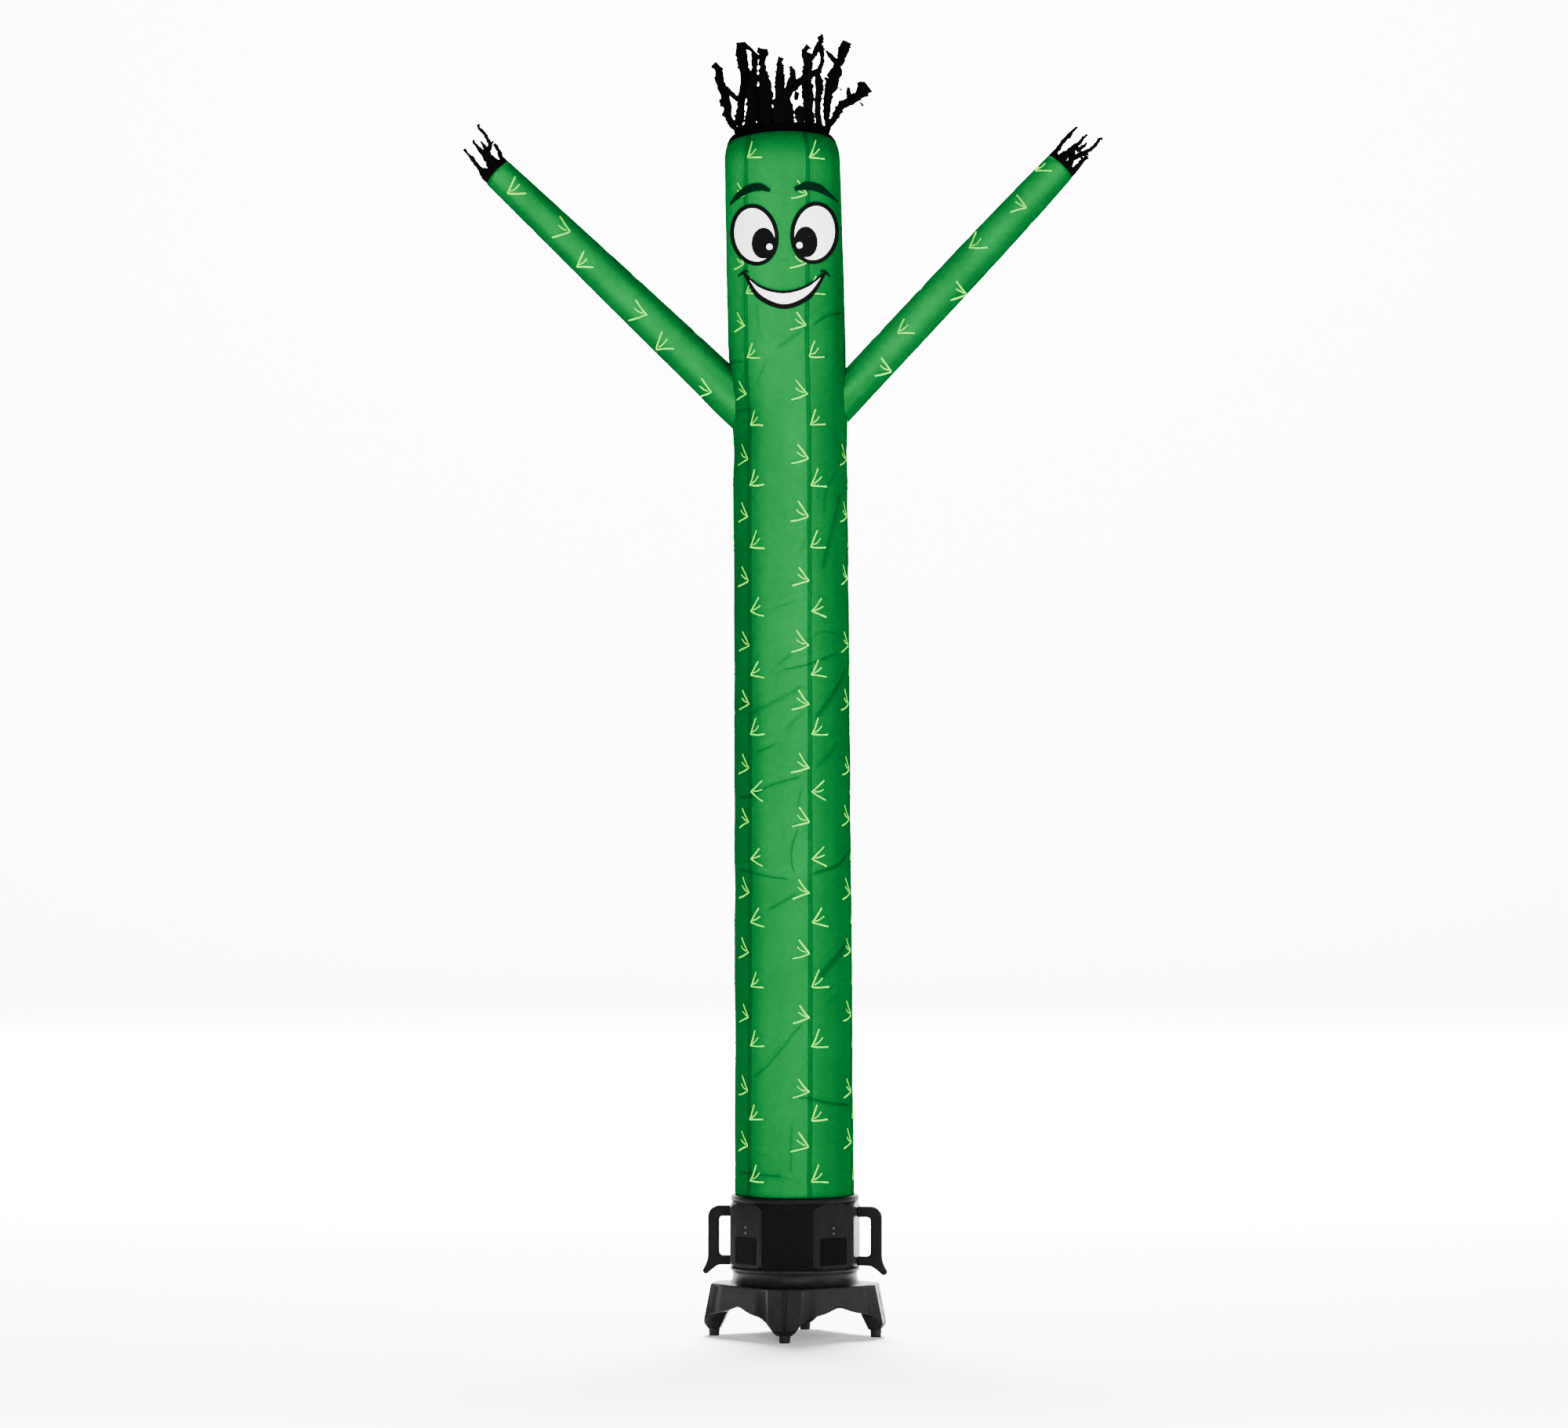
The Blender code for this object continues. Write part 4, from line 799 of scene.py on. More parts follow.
def make_arm(limb, material):
    angle = np.linspace(0, 2 * pi, ARM_SIDES, endpoint=False)
    start = limb.start(angle)
    share = np.linspace(0, 1, ARM_ROWS + 1)[:, None] ** 1.15
    distance = start + (limb.length - start) * share + HAND_SLANT * np.cos(angle) * share**3
    points = limb.points(angle[None, :], distance)
    uv = ([*(angle / (2 * pi)), 1.0], share[:, 0] * limb.length)
    arm = surface(f"arm_{limb.arm.side}_cloth", points, material, uv=uv)
    # How far up or down each side faces, which the arm's painted light and shade is read by.
    upward = np.sin(angle) * np.sign(limb.side[2])
    mark(arm, "upward", np.broadcast_to(upward, points.shape[:2]))
    solidify(arm, CLOTH)
    return show(arm, "green_nylon", f"arm_{limb.arm.side}")


# ---- slashed strips


class Ring:
    """A circle round which a strip stands, the way it faces, and its side and back directions."""

    def __init__(self, middle, along, side, back, radius):
        self.middle, self.along, self.side, self.back = [np.asarray(v, float) for v in (middle, along, side, back)]
        self.radius = radius

    def point(self, angle):
        return self.middle + (self.side * sin(angle) - self.back * cos(angle)) * self.radius

    def level(self, side, up, angle, depth):
        """A point this far to the side and up, as far to the front or back as its angle is at depth."""
        straight = self.back - self.along * (self.back @ self.along)
        return self.middle + self.side * side + self.along * up - straight * cos(angle) * depth


def root_angles(ring, lock):
    half = lock.root / 2 / ring.radius
    return radians(lock.angle) - half, radians(lock.angle), radians(lock.angle) + half


def lock_knots(ring, lock, number):
    """The two edges of a lock at its root and at each knot of its path, as pairs of points."""
    low, angle, high = root_angles(ring, lock)
    pairs = [(ring.point(low), ring.point(high))]
    tangent = ring.side * cos(angle) + ring.back * sin(angle)
    before = (ring.radius * sin(angle), 0.0)
    for row, (side, up, width) in enumerate(lock.path, 1):
        after = lock.path[min(row, len(lock.path) - 1)]
        way = unit(np.array([after[0] - before[0], after[1] - before[1]]))
        across = (ring.side * way[1] - ring.along * way[0]) * (1 if cos(angle) > 0 else -1)
        if row == 1:
            across = unit(across + tangent)
        depth = ring.radius + LOCK_FLARE * row / len(lock.path) + LOCK_STAGGER * (-1) ** number
        middle = ring.level(side, up, angle, depth)
        half = across * (width + LOCK_FRAY) / 2
        pairs.append((middle - half, middle + half))
        before = (side, up)
    return pairs


def torn_strip(pairs, seed, barb):
    """A strip through pairs of edge points, torn a little in steps, with a barb here and there."""
    rows = []
    for part, ((left, right), (far_left, far_right)) in enumerate(zip(pairs, pairs[1:])):
        length = np.linalg.norm((far_left + far_right - left - right) / 2)
        steps = max(1, round(length / LOCK_STEP))
        for step in range(steps + (part == len(pairs) - 2)):
            share = step / steps
            here, there = left + (far_left - left) * share, right + (far_right - right) * share
            across = there - here
            width = np.linalg.norm(across)
            row = [here, there]
            for edge in (0, 1) if rows else ():
                tear = width * LOCK_TORN * hashed(seed, (part * 9 + step) // 2, edge)
                out = barb if hashed(seed * 3, part * 9 + step, edge + 5) > BARB_ABOVE and len(rows) > 2 else 0.0
                row[edge] = row[edge] + across / width * (2 * edge - 1) * (tear + out)
            rows.append([row[0], (row[0] + row[1]) / 2, row[1]])
    return np.array(rows)


def make_fringe(name, ring, strip, tufts, band, barb, material):
    """A strip slashed into locks. band has a function for each row of its uncut part, from angle to point."""
    angles = [angle for lock in strip for angle in root_angles(ring, lock)]
    angles.append(angles[0] + 2 * pi)
    grids = [np.array([[lay(angle) for angle in angles] for lay in (*band, ring.point)])]
    for number, lock in enumerate(strip):
        grids.append(torn_strip(lock_knots(ring, lock, number), number, barb))
    for number, tuft in enumerate(tufts):
        grids.append(torn_strip(lock_knots(ring, tuft, 2 * number)[1:], number + 50, barb / 2))
    fringe = welded(joined(f"{name}_strips", grids, material), 1e-5, outwards=False)
    solidify(fringe, LOCK_THICK, even=False)
    return show(fringe, "black_nylon", name)


def make_hair(material):
    along = Vector((0, VENT_TILT / VENT_RADIUS, 1)).normalized()
    right = Vector((1, 0, 0))
    vent = Vector((float(tube_middle(VENT_Z)), 0, VENT_Z))
    top = Ring(vent + along * HAIR_BAND, along, right, right.cross(-along), HAIR_RADIUS)

    def lap(share):
        def lay(angle):
            start = HAIR_LAP + HAIR_LAP_LESS * abs(cos(angle)) + HAIR_LAP_LEAN * sin(angle)
            end = max(start + 2, HAIR_LAP_END)
            return tube_points(angle, SHOULDER_Z, radians(start + (end - start) * share), HAIR_CLEAR)

        return lay

    band = [lap(share) for share in (0, 0.2, 0.4, 0.6, 0.8, 1)]
    return make_fringe("hair_fringe", top, HAIR, HAIR_TUFTS, band, HAIR_BARB, material)


def make_fingers(limb, material):
    back = np.array([0.0, 1.0, 0.0])
    side, radius = limb.arm.side, float(limb.radius(limb.length))
    wrist = limb.root + limb.along * (limb.length + GAP)
    hand = Ring(wrist, limb.along, limb.side, back - limb.along * (HAND_SLANT / radius), radius)
    slashed = Ring(wrist + limb.along * FINGER_BAND, limb.along, limb.side, back, radius)
    tufts = FINGER_TUFTS[side]
    return make_fringe(f"hand_fringe_{side}", slashed, FINGERS[side], tufts, [hand.point], FINGER_BARB, material)


# ---- the print

# The face, as seen from the front: an eye's middle, its half width and height, its lean in degrees,
# and the middles of its pupil and its glint.
EYES = (
    (-0.1052, 2.8573, 0.0621, 0.0808, -13, (-0.0819, 2.8353), (-0.0662, 2.8255)),
    (0.0508, 2.8622, 0.0626, 0.0814, 10, (0.0280, 2.8384), (0.0114, 2.8294)),
)
EYE_LINE = 0.0110
PUPIL_WIDE, PUPIL_HIGH, GLINT = 0.0305, 0.0400, 0.0080
BROWS = (
    ((-0.1700, 2.9380), (-0.1440, 2.9625), (-0.1156, 2.9775), (-0.0903, 2.9800), (-0.0640, 2.9700)),
    ((-0.0010, 2.9740), (0.0280, 2.9830), (0.0590, 2.9790), (0.0880, 2.9630), (0.1120, 2.9460)),
)
BROW_WIDTHS = ((0.004, 0.015, 0.021, 0.021, 0.008), (0.010, 0.022, 0.022, 0.013, 0.004))
SMILE_TOP = ((-0.1312, 2.7586), (-0.0917, 2.7241), (-0.0267, 2.7085), (0.0301, 2.7241), (0.0754, 2.7590))
SMILE_FOOT = ((-0.1312, 2.7560), (-0.0870, 2.7000), (-0.0267, 2.6766), (0.0305, 2.7000), (0.0762, 2.7560))
LIP = ((-0.1335, 2.7606), (-0.0900, 2.6955), (-0.0265, 2.6712), (0.0335, 2.6955), (0.0790, 2.7606))
CHEEKS = (
    ((-0.1480, 2.7516), (-0.1370, 2.7600), (-0.1268, 2.7651), (-0.1197, 2.7607)),
    ((0.0660, 2.7615), (0.0725, 2.7651), (0.0820, 2.7600), (0.0915, 2.7500)),
)
SMILE_STEPS, SMILE_ROWS, OVAL_STEPS, OVAL_ROWS = 61, 9, 61, 15
# How far over the cloth each part lies, so that they cover each other in the right order.
EYE_OFF, WHITE_OFF, PUPIL_OFF, GLINT_OFF = 0.0021, 0.0025, 0.0029, 0.0033
TEETH_OFF, BROW_OFF, SMILE_OFF, LIP_OFF, SPINE_LIFT, ARM_SPINE_LIFT = 0.0023, 0.0024, 0.0027, 0.0028, 0.0016, 0.0005


def printed(name, grids, material):
    """Print on the cloth: grids of points that lie just over it."""
    return show(joined(name, grids, material), "green_nylon")


def oval(middle, half_wide, half_high, lean, away):
    """A filled ellipse seen from the front, leaning this many degrees towards +X."""
    share = np.linspace(0, 1, OVAL_ROWS)[:, None]
    turn = np.linspace(0, 2 * pi, OVAL_STEPS)[None, :]
    wide, high = half_wide * share * np.cos(turn), half_high * share * np.sin(turn)
    tilt = radians(lean)
    x, z = middle
    return on_front(x + wide * cos(tilt) + high * sin(tilt), z - wide * sin(tilt) + high * cos(tilt), away)


def smile(away):
    """The teeth, between the mouth's upper and lower lines."""
    top, foot = curve_through(SMILE_TOP, SMILE_STEPS), curve_through(SMILE_FOOT, SMILE_STEPS)
    x = np.linspace(top[0, 0], top[-1, 0], SMILE_STEPS)
    upper, lower = np.interp(x, *top.T), np.interp(x, *foot.T)
    share = np.linspace(0, 1, SMILE_ROWS)[:, None]
    z = np.minimum(lower, upper) * (1 - share) + upper * share
    return on_front(np.broadcast_to(x, z.shape), z, away)


def make_face(ink, white, brow_green):
    def stroke(knots, widths, away, steps=40):
        return pen_line(knots, widths, lambda x, z: on_front(x, z, away), steps)

    lines, fill, pupils, glints = [], [], [], []
    for x, z, wide, high, lean, pupil, glint in EYES:
        lines.append(oval((x, z), wide, high, lean, EYE_OFF))
        fill.append(oval((x, z), wide - EYE_LINE, high - EYE_LINE, lean, WHITE_OFF))
        pupils.append(oval(pupil, PUPIL_WIDE, PUPIL_HIGH, 0, PUPIL_OFF))
        glints.append(oval(glint, GLINT, GLINT, 0, GLINT_OFF))
    fill.append(smile(TEETH_OFF))
    lines.append(stroke(SMILE_TOP, (0.005, 0.0065, 0.0070, 0.0065, 0.005), SMILE_OFF, 60))
    lines.append(stroke(LIP, (0.006, 0.0130, 0.0130, 0.0130, 0.006), LIP_OFF, 60))
    brows = [stroke(knots, widths, BROW_OFF) for knots, widths in zip(BROWS, BROW_WIDTHS)]
    brows += [stroke(knots, (0.003, 0.007, 0.007, 0.003), BROW_OFF) for knots in CHEEKS]
    parts = (
        ("lines", lines, ink), ("white", fill, white), ("pupils", pupils, ink), ("glints", glints, white),
        ("brows", brows, brow_green),
    )
    return [printed(f"print_face_{part}", grids, material) for part, grids, material in parts]


def spine_strokes(kind, place, seed, turn=0):
    """One spine mark, its strokes a little uneven. place(away, up) puts a point on the cloth."""
    turn, size = radians(turn + 3 * hashed(seed, 1)), 1 + 0.08 * hashed(seed, 2)
    patches = []
    for number, stroke in enumerate(SPINE_STROKES[kind]):
        bent = []
        for k, (x, z) in enumerate(stroke):
            x = x / 1000 + SPINE_UNEVEN * hashed(seed, number, k)
            z = z / 1000 + SPINE_UNEVEN * hashed(seed, k, number)
            bent.append((size * (x * cos(turn) - z * sin(turn)), size * (x * sin(turn) + z * cos(turn))))
        wide = SPINE_WIDTH * (SPINE_THIN if number == 2 else 1.0)
        widths = [wide * (1 + 0.25 * hashed(seed, number, k + 9)) for k in range(5)]
        patches.append(pen_line(bent, widths, place, 14))
    return patches


def seam_spines(seam, kind, number):
    """The mark at this seam and height. Those past the front's two seams are moved up or down a little."""
    height, side = SPINE_HEIGHTS[kind][number] / 1000, 1 if kind else -1
    if seam == SPINE_LEFT_SEAM and not kind and height > SPINE_LEFT_TOP:
        return []
    seed = seam * 40 + kind * 20 + number
    if seam > 1:
        height += SPINE_DRIFT * hashed(seed, 3)

    def place(away, up):
        off = (SPINE_SHIFT + side * (SPINE_GAP + away)) / CLOTH_RADIUS
        return tube_points(SEAMS[seam] + tube_twist(height) + off, height + up, 0, SPINE_LIFT)

    return spine_strokes(kind, place, seed, SPINE_TURNS[number] if kind else 0)


def arm_spines(limb, number, front):
    """The mark on the front or the back of an arm."""
    x, z, kind = ARM_SPINES[limb.arm.side][number]
    side = 1 if kind else -1

    def place(away, up):
        off_x, off_z = x + side * away - limb.root[0], z + up - limb.root[2]
        along = off_x * limb.along[0] + off_z * limb.along[2]
        across = off_x * limb.side[0] + off_z * limb.side[2]
        turn = np.arcsin(np.clip(across / limb.radius(along), -0.97, 0.97))
        return limb.points(turn if front else pi - turn, along, ARM_SPINE_LIFT)

    return spine_strokes(kind, place, 300 + number * 2 + (0 if limb.arm.side == "left" else 30))


def make_spines(limbs, material):
    patches = []
    for seam in range(PANELS):
        for kind in (0, 1):
            for number in range(len(SPINE_TURNS)):
                patches += seam_spines(seam, kind, number)
    for limb in limbs:
        for number in range(len(ARM_SPINES["left"])):
            patches += arm_spines(limb, number, True) + arm_spines(limb, number, False)
    return printed("print_spines", patches, material)


# ---- the blower


def turned(name, profile, material, steps=160):
    """A ring turned about the axis from a closed profile of (radius, height)."""
    turn = np.linspace(0, 2 * pi, steps, endpoint=False)
    radius, z = np.transpose([*profile, profile[0]])[..., None]
    points = np.stack(np.broadcast_arrays(radius * np.sin(turn), -radius * np.cos(turn), z), -1)
    return welded(surface(name, points, material))


def rounded(profile, radius, steps=4):
    """A closed profile with each corner cut to an arc, where its sides are long enough."""
    made = []
    for index, corner in enumerate(profile):
        corner = Vector(corner)
        before, after = Vector(profile[index - 1]) - corner, Vector(profile[(index + 1) % len(profile)]) - corner
        room = min(radius, before.length * 0.45, after.length * 0.45)
        start, end = corner + before.normalized() * room, corner + after.normalized() * room
        for step in range(steps + 1):
            t = step / steps
            made.append(tuple(start * (1 - t) ** 2 + corner * 2 * t * (1 - t) + end * t**2))
    return made


def make_outlet(material):
    foot = DRUM_TOP + GAP
    profile = [
        (COLLAR_RADIUS, COLLAR_TOP), (COLLAR_RADIUS, RIM_TOP), (RIM_RADIUS, RIM_TOP), (RIM_RADIUS, foot),
        (BORE, foot), (BORE, COLLAR_TOP),
    ]
    outlet = settled(turned("outlet_rim", rounded(profile, 0.0062, 6), material), 50)
    return show(outlet, "black_plastic", "blower_outlet")


def make_drum(material, shaded_front_material):
    """The eight-sided housing, cut by a turned core. The large front facet has a darker plastic without grain: painted
    shade.
    """
    foot = FLANGE_TOP + GAP
    profile = [
        (DRUM_END, DRUM_TOP), (DRUM_REACH, DRUM_TOP - DRUM_SLOPE_TOP), (DRUM_REACH, foot + DRUM_SLOPE_FOOT),
        (DRUM_END, foot), (BORE, foot), (BORE, DRUM_TOP),
    ]
    core = turned("drum_core", profile, material, 192)
    corner = DRUM_APOTHEM / cos(pi / DRUM_SIDES)
    stand = Matrix.Translation((0, 0, 0.5)) @ Matrix.Rotation(pi / DRUM_SIDES, 4, "Z")
    bm = bmesh.new()
    bmesh.ops.create_cone(
        bm, cap_ends=True, segments=DRUM_SIDES, radius1=corner, radius2=corner, depth=1.0, matrix=stand
    )
    drum = from_bmesh("drum_shell", bm, material)
    drum.rotation_euler.z = YAW
    cut = drum.modifiers.new("core", "BOOLEAN")
    cut.operation, cut.object = "INTERSECT", core
    bevelled(drum, 0.0032, 3, 12, 20)
    bpy.data.objects.remove(core)
    drum.data.materials.append(shaded_front_material)
    # The front facet gets the darker plastic, which paints shade on it.
    for polygon in drum.data.polygons:
        polygon.material_index = int(polygon.normal.dot(around(YAW)) > 0.99 and polygon.area > 0.001)
    return show(drum, "black_plastic", "blower_drum")


LEG_REACH, LEG_SPLAY, PANEL_REACH, PANEL_SPLAY = 0.215, 0.200, 0.1835, 0.120
PANEL_WALL, LEG_WAIST_Z, LEG_INNER_REACH, EDGE = 0.0060, 0.092, 0.160, 0.0030
GROOVE, STEP = 3.2, 2.2  # depth of the leg's groove, and of the flank beside its face, in mm
# The base's lower edge from the middle of a leg to the middle of a panel: which of them, how far along
# it, and in mm the height, the corner's size, the leg's depth, and how far the face is set in.
ARCH = (
    ("leg", 0.0, 19.8, 10, 42, GROOVE), ("leg", 0.08, 19.8, 10, 42, GROOVE), ("leg", 0.15, 19.8, 10, 42, 0),
    ("leg", 0.38, 19.8, 10, 42, 0), ("leg", 0.53, 20.5, 9.5, 42, 0), ("leg", 0.68, 25.5, 7, 36, 0),
    ("leg", 0.84, 34.5, 4, 28, 0), ("leg", 1.0, 44, 1.8, 18, 0), ("panel", 0.05, 49.5, 1.8, 0, STEP),
    ("panel", 0.12, 55, 1.8, 0, STEP), ("panel", 0.2, 60, 1.8, 0, STEP), ("panel", 0.29, 64, 1.8, 0, STEP),
    ("panel", 0.32, 65, 1.8, 0, 0), ("panel", 0.45, 67.2, 1.8, 0, 0), ("panel", 0.59, 70.2, 1.8, 0, 0),
    ("panel", 0.72, 74.8, 1.8, 0, 0), ("panel", 0.85, 80.4, 1.8, 0, 0), ("panel", 0.93, 83.6, 1.8, 0, 0),
    ("panel", 1.0, 84.6, 1.8, 0, 0),
)
FLANGE_EDGE, FLANGE_TURNS = (0.0030, 0.0047), (1.57, 1.0, 0.5, 0.0, -0.5, -1.0)  # its radii, and its steps
# Down the waist: how far over its radius, and how far under the flange's top, or over the plate's.
NECK = ((0.0015, 0.0120), (0.0, 0.0150))
WAIST = ((0.0, 0.0200), (0.0012, 0.0130), (0.0035, 0.0070), (0.0075, 0.0022), (0.0130, 0.0))


def base_outline(part, share, drop, inwards=0.0, sunk=0.0):
    """A point of the base's outline this far under the plate's top, as (to the side, out)."""
    leg = LEG_REACH + LEG_SPLAY * drop - inwards
    panel = sqrt(2) * (PANEL_REACH + PANEL_SPLAY * drop - inwards)
    corner = Vector((panel - leg, leg))
    if part == "leg":
        return Vector((corner.x * share, leg - sunk))
    return corner.lerp(Vector((panel / 2, panel / 2)), share) - Vector((sunk, sunk)) / sqrt(2)


def base_section(part, share, z, corner, depth, sunk):
    """The base cut through at one point of its lower edge, as a closed line of (to the side, out, z)."""
    z, corner, depth, sunk = z / 1000, corner / 1000, depth / 1000, sunk / 1000
    under = PLATE_TOP - PLATE_THICKNESS
    low = z + corner * 1.3
    upper = base_outline(part, share, 0.0)
    lower = base_outline(part, share, PLATE_TOP - low, corner)

    def ring(radius, z):
        return (*(upper.normalized() * radius), z)

    def wall(z, inwards=0.0, sunk=0.0):
        return (*base_outline(part, share, PLATE_TOP - z, inwards, sunk), z)

    if part == "leg":
        inner = [(lower.x, lower.y + corner - depth, z)]
        inner += [(upper.x, LEG_INNER_REACH, height) for height in (LEG_WAIST_Z, under)]
    else:
        inner = [wall(height, PANEL_WALL) for height in (z, LEG_WAIST_Z, under)]
    out, up = FLANGE_EDGE
    return [
        ring(BORE, FLANGE_TOP),
        *[ring(FLANGE_RADIUS - out + out * cos(t), FLANGE_TOP - up + up * sin(t)) for t in FLANGE_TURNS],
        *[ring(WAIST_RADIUS + over, FLANGE_TOP - drop) for over, drop in NECK],
        *[ring(WAIST_RADIUS + over, PLATE_TOP + height) for over, height in WAIST],
        wall(PLATE_TOP, EDGE),
        wall(PLATE_TOP - EDGE * 0.3, EDGE * 0.3),
        wall(PLATE_TOP - EDGE),
        wall(PLATE_TOP - EDGE - 0.0030, 0.0, sunk),
        wall(low + 0.0040, 0.0, sunk),
        wall(low, 0.0, sunk * 0.5),
        (*lower, z),
        *inner,
        ring(BORE, under),
    ]


def make_base(material):
    half = [base_section(*point) for point in ARCH]
    other = [[(-side, out, z) for side, out, z in section] for section in half[-2:0:-1]]
    columns = []
    for leg in range(4):
        for ahead, section in [(0, section) for section in half] + [(1, section) for section in other]:
            way = radians(90 * (leg + ahead)) + YAW
            out, side = around(way), around(way + radians(90))
            columns.append([out * a + side * s + Vector((0, 0, z)) for s, a, z in [*section, section[0]]])
    base = welded(surface("base_skirt", np.array(columns).transpose(1, 0, 2), material))
    return show(settled(base, 28), "black_plastic", "blower_base")


def arc(x, y, radius, start, end, steps):
    turns = np.radians(np.linspace(start, end, steps + 1))
    return [Vector((x + cos(turn) * radius, y + sin(turn) * radius)) for turn in turns]


HANDLE_REACH, HANDLE_INNER, HANDLE_TOP, HANDLE_UNDER, HANDLE_OVER = 0.2280, 0.1985, 0.3395, 0.3115, 0.2098
HANDLE_ROUND, HANDLE_HOLE_ROUND, HANDLE_THICK, HANDLE_EDGE = 0.031, 0.0095, 0.024, 0.0055
# Its lower edge to the tail, the tail's round end, and its outer edge from there, as (out, height).
HANDLE_FOOT = ((0.193, 0.1850), (0.2010, 0.1835), (0.2085, 0.1790))
HANDLE_TAIL = (0.2335, 0.1690, 0.0082, -145, 30, 8)
HANDLE_BACK = ((0.2355, 0.1820), (0.2318, 0.1910), (0.2292, 0.2000), (HANDLE_REACH, 0.2100))


def handle_outline():
    seat, small = DRUM_APOTHEM + GAP, HANDLE_HOLE_ROUND
    points = [Vector(point) for point in ((seat, HANDLE_FOOT[0][1]), *HANDLE_FOOT)]
    points += arc(*HANDLE_TAIL) + [Vector(point) for point in HANDLE_BACK]
    points += arc(HANDLE_REACH - HANDLE_ROUND, HANDLE_TOP - HANDLE_ROUND, HANDLE_ROUND, 0, 90, 16)
    points += [Vector((seat, HANDLE_TOP)), Vector((seat, HANDLE_UNDER))]
    points += arc(HANDLE_INNER - small, HANDLE_UNDER - small, small, 90, 0, 6)
    points += arc(HANDLE_INNER - small, HANDLE_OVER + small, small, 0, -90, 6)
    return [*points, Vector((seat, HANDLE_OVER))]


def plate_from_outline(name, outline, thickness, edge, segments, material, stand):
    """A flat plate with round edges, in the frame of axes that stand gives."""
    bm = bmesh.new()
    face = bm.faces.new([bm.verts.new((point.x, point.y, -thickness / 2)) for point in outline])
    pulled = bmesh.ops.extrude_face_region(bm, geom=[face])
    tops = [item for item in pulled["geom"] if isinstance(item, bmesh.types.BMVert)]
    bmesh.ops.translate(bm, verts=tops, vec=(0, 0, thickness))
    bmesh.ops.recalc_face_normals(bm, faces=bm.faces)
    plate = from_bmesh(name, bm, material)
    plate.matrix_world = stand
    bevelled(plate, edge, segments, 40, 35)
    for polygon in plate.data.polygons:
        polygon.use_smooth = polygon.area < 0.0004
    return plate


def upright(out, away=0.0, height=0.0, across_first=False):
    """A frame that stands at out: its first axis runs out and its second up, or across and up."""
    up = Vector((0, 0, 1))
    axes = (up.cross(out), up, out) if across_first else (out, up, out.cross(up))
    matrix = Matrix(axes).transposed().to_4x4()
    matrix.translation = out * away + up * height
    return Matrix.Translation((AXIS_X, 0, 0)) @ matrix


def make_handles(material):
    for name, quarter in (("right", 1), ("left", 3)):
        stand = upright(around(YAW + radians(90) * quarter))
        outline = handle_outline()
        bar = plate_from_outline(f"handle_{name}_bar", outline, HANDLE_THICK, HANDLE_EDGE, 4, material, stand)
        show(bar, "black_plastic", f"handle_{name}")


LABEL_HALF_WIDE, LABEL_HALF_HIGH, LABEL_CORNER, LABEL_THICKNESS, LABEL_Z = 0.0395, 0.032, 0.003, 0.0012, 0.229
SCREW_HEIGHTS, SCREW_RADIUS, SCREW_FLAT = (0.2905, 0.2765), 0.0030, 0.55


def make_labels(film, metal):
    """The blank plates on the facets beside the front one, and the two screws over each."""
    outline = []
    for number, (x, z) in enumerate(((1, 1), (-1, 1), (-1, -1), (1, -1))):
        outline += arc(x * LABEL_HALF_WIDE, z * LABEL_HALF_HIGH, LABEL_CORNER, number * 90, number * 90 + 90, 4)
    for name, turn in (("left", -45), ("right", 45)):
        out = around(YAW + radians(turn))
        stand = upright(out, DRUM_APOTHEM + GAP + LABEL_THICKNESS / 2, LABEL_Z, across_first=True)
        plate = plate_from_outline(f"label_{name}_blank", outline, LABEL_THICKNESS, 0.0003, 2, film, stand)
        show(plate, "label_film", f"label_plate_{name}")
        for number, height in enumerate(SCREW_HEIGHTS):
            bm = bmesh.new()
            bmesh.ops.create_uvsphere(bm, u_segments=20, v_segments=12, radius=SCREW_RADIUS)
            bmesh.ops.scale(bm, verts=bm.verts, vec=(1, 1, SCREW_FLAT))
            screw = from_bmesh(f"screw_{name}_{number + 1}", bm, metal)
            smooth(screw.data)
            screw.matrix_world = upright(out, DRUM_APOTHEM, height, across_first=True)
            show(screw, "black_plastic")


def make_feet(material):
    profile = rounded([(0.0, FOOT_HEIGHT), (FOOT_SHOULDER, FOOT_HEIGHT), (FOOT_RADIUS, 0.0), (0.0, 0.0)], 0.0012, 2)
    for number in range(4):
        foot = turned(f"pad_{number + 1}", profile, material, 40)
        foot.location = around(YAW + radians(90) * number) * FOOT_REACH + Vector((AXIS_X, 0, 0))
        show(settled(foot, 40), "foot_rubber", f"foot_pad_{number + 1}")


# ---- the set


def aimed(name, data, place, aim):
    """An object at place that looks at aim."""
    obj = linked(name, data, place)
    obj.rotation_euler = (Vector(aim) - Vector(place)).to_track_quat("-Z", "Y").to_euler()
    return obj


def area_light(name, place, aim, size, energy, spread=180):
    lamp = bpy.data.lights.new(name, "AREA")
    lamp.shape = "RECTANGLE"
    lamp.size, lamp.size_y = size
    lamp.energy = energy
    lamp.spread = radians(spread)
    aimed(name, lamp, place, aim)


def make_stage():
    """A pale floor that turns up into a wall far behind."""
    near, far, bend, top, half = -18.0, 20.0, 4.0, 16.0, 18.0
    turns = [radians(t) for t in range(10, 91, 10)]
    curve = [(far + bend * sin(t), bend - bend * cos(t)) for t in turns]
    profile = [(near, 0.0), (far, 0.0), *curve, (far + bend, top)]
    points = np.array([[(x, y, z) for x in (-half, half)] for y, z in profile])
    backdrop = surface("backdrop", points, Shader("backdrop_paper", (0.95,) * 3, 0.9, 0.1).material, closed=False)
    backdrop.location.x = 0.0


def make_camera():
    camera = bpy.data.cameras.new("camera")
    camera.sensor_width = 36.0
    camera.lens = 176.5
    camera.clip_end = 200.0
    bpy.context.scene.camera = aimed("camera", camera, (0.0014, -20.0, 1.75), (0.0014, 0.0, 1.619))


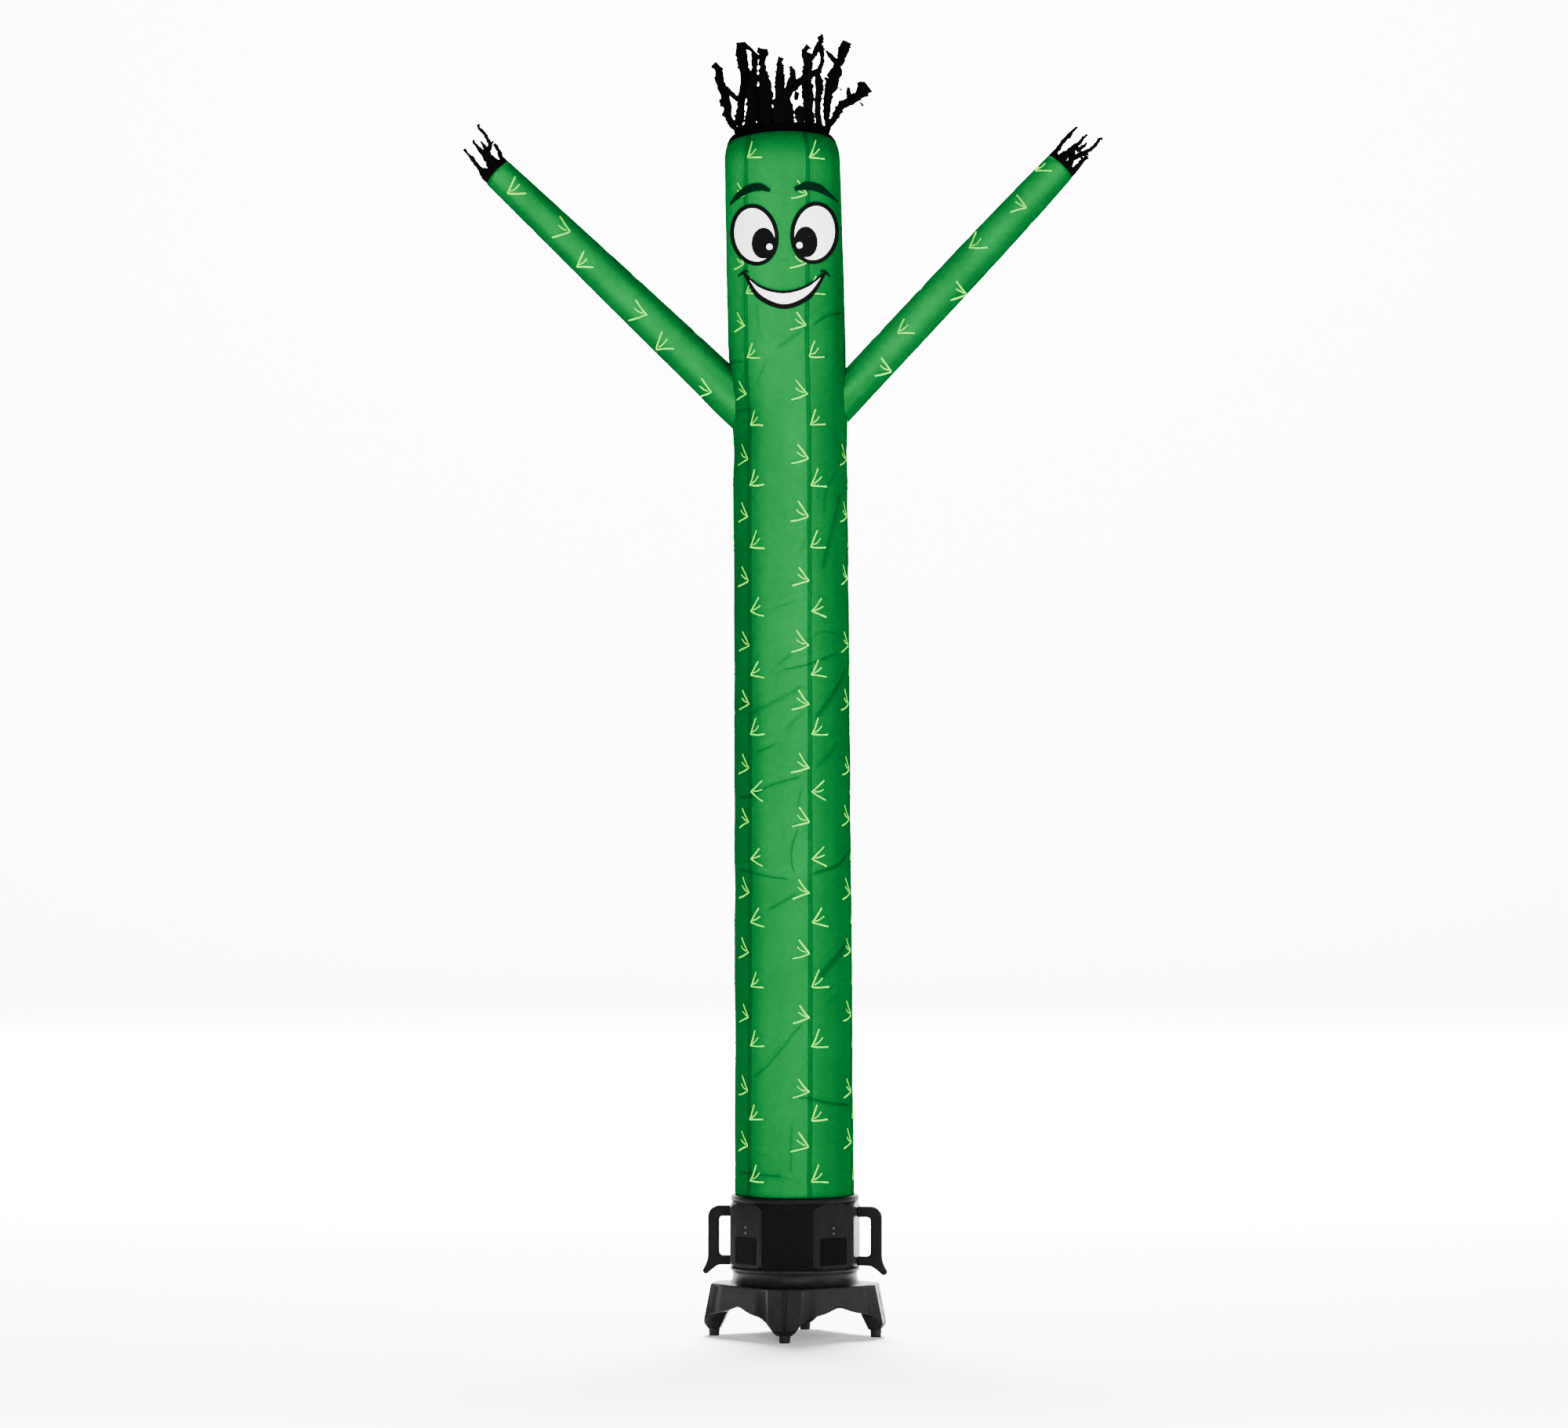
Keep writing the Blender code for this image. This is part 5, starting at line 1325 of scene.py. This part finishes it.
def make_world():
    world = bpy.data.worlds.new("studio")
    world.use_nodes = True
    shade = world.node_tree.nodes["Background"]
    shade.inputs["Color"].default_value = (1.0, 1.0, 1.0, 1.0)
    shade.inputs["Strength"].default_value = 0.10
    bpy.context.scene.world = world


# ---- the object

nylon, black = tube_nylon(), black_nylon()
plastic = moulded_plastic("plastic_black", (0.0026, 0.0027, 0.0029), 0.012)
# A lighter copy of the black plastic for the base: painted light on its sloping faces.
lit_base_plastic = moulded_plastic("plastic_black_base_painted_light", (0.0042, 0.0043, 0.0046), 0.03)
shaded_front_plastic, ink, white, brow_green, lime, film, metal, rubber = [
    Shader(*row).material
    for row in (
        # darker plastic without grain for the drum's front facet: painted shade
        ("plastic_front_painted_shade", (0.0009, 0.0009, 0.0010), 0.50, 0.012),
        ("ink_black", (0.002, 0.002, 0.002), 0.6),
        ("ink_white", (0.90, 0.90, 0.90), 0.6, 0.1),
        ("ink_dark_green", (0.000, 0.006, 0.002), 0.6),
        ("ink_lime", (0.085, 0.48, 0.014), 0.6),
        ("film_black", (0.0005, 0.0005, 0.0006), 0.60, 0.01),
        ("screw_black", (0.012, 0.012, 0.012), 0.45, 0.3),
        ("rubber_black", (0.004, 0.004, 0.004), 0.75, 0.1),
    )
]

limbs = [Limb(arm) for arm in ARMS]
tube = make_tube(limbs, nylon)
folds = make_folds(limbs, nylon)
arms = [make_arm(limb, arm_nylon(limb.arm.side)) for limb in limbs]
hair = make_hair(black)
hands = [make_fingers(limb, black) for limb in limbs]
face = make_face(ink, white, brow_green)
spines = make_spines(limbs, lime)

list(face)

make_outlet(plastic)
make_drum(plastic, shaded_front_plastic)
make_base(lit_base_plastic)
make_handles(plastic)
make_labels(film, metal)
make_feet(rubber)

make_stage()
make_world()
for light in (
    ("key", (3.0, -13.6, 2.4), (0, 0, 1.7), (2.4, 2.6), 3000),
    ("left", (-3.4, -13.0, 4.8), (0, 0, 1.0), (1.6, 1.6), 850),
    ("right", (9.0, -2.4, 1.8), (0, 0, 1.0), (2.0, 3.0), 550),
    ("top", (0.0, 4.5, 8.2), (0, -0.2, 0), (4.0, 4.0), 10500),
    ("near", (0.0, -6.0, 5.0), (0, -6.0, 0), (9.0, 4.0), 2600, 80),
    ("floor", (0.0, 11.0, 5.0), (0, 11.0, 0), (16.0, 5.0), 9000, 100),
    ("wall", (0.0, 7.0, 9.0), (0, 23.0, 1.5), (14.0, 2.0), 38000),
):
    area_light(*light)
make_camera()
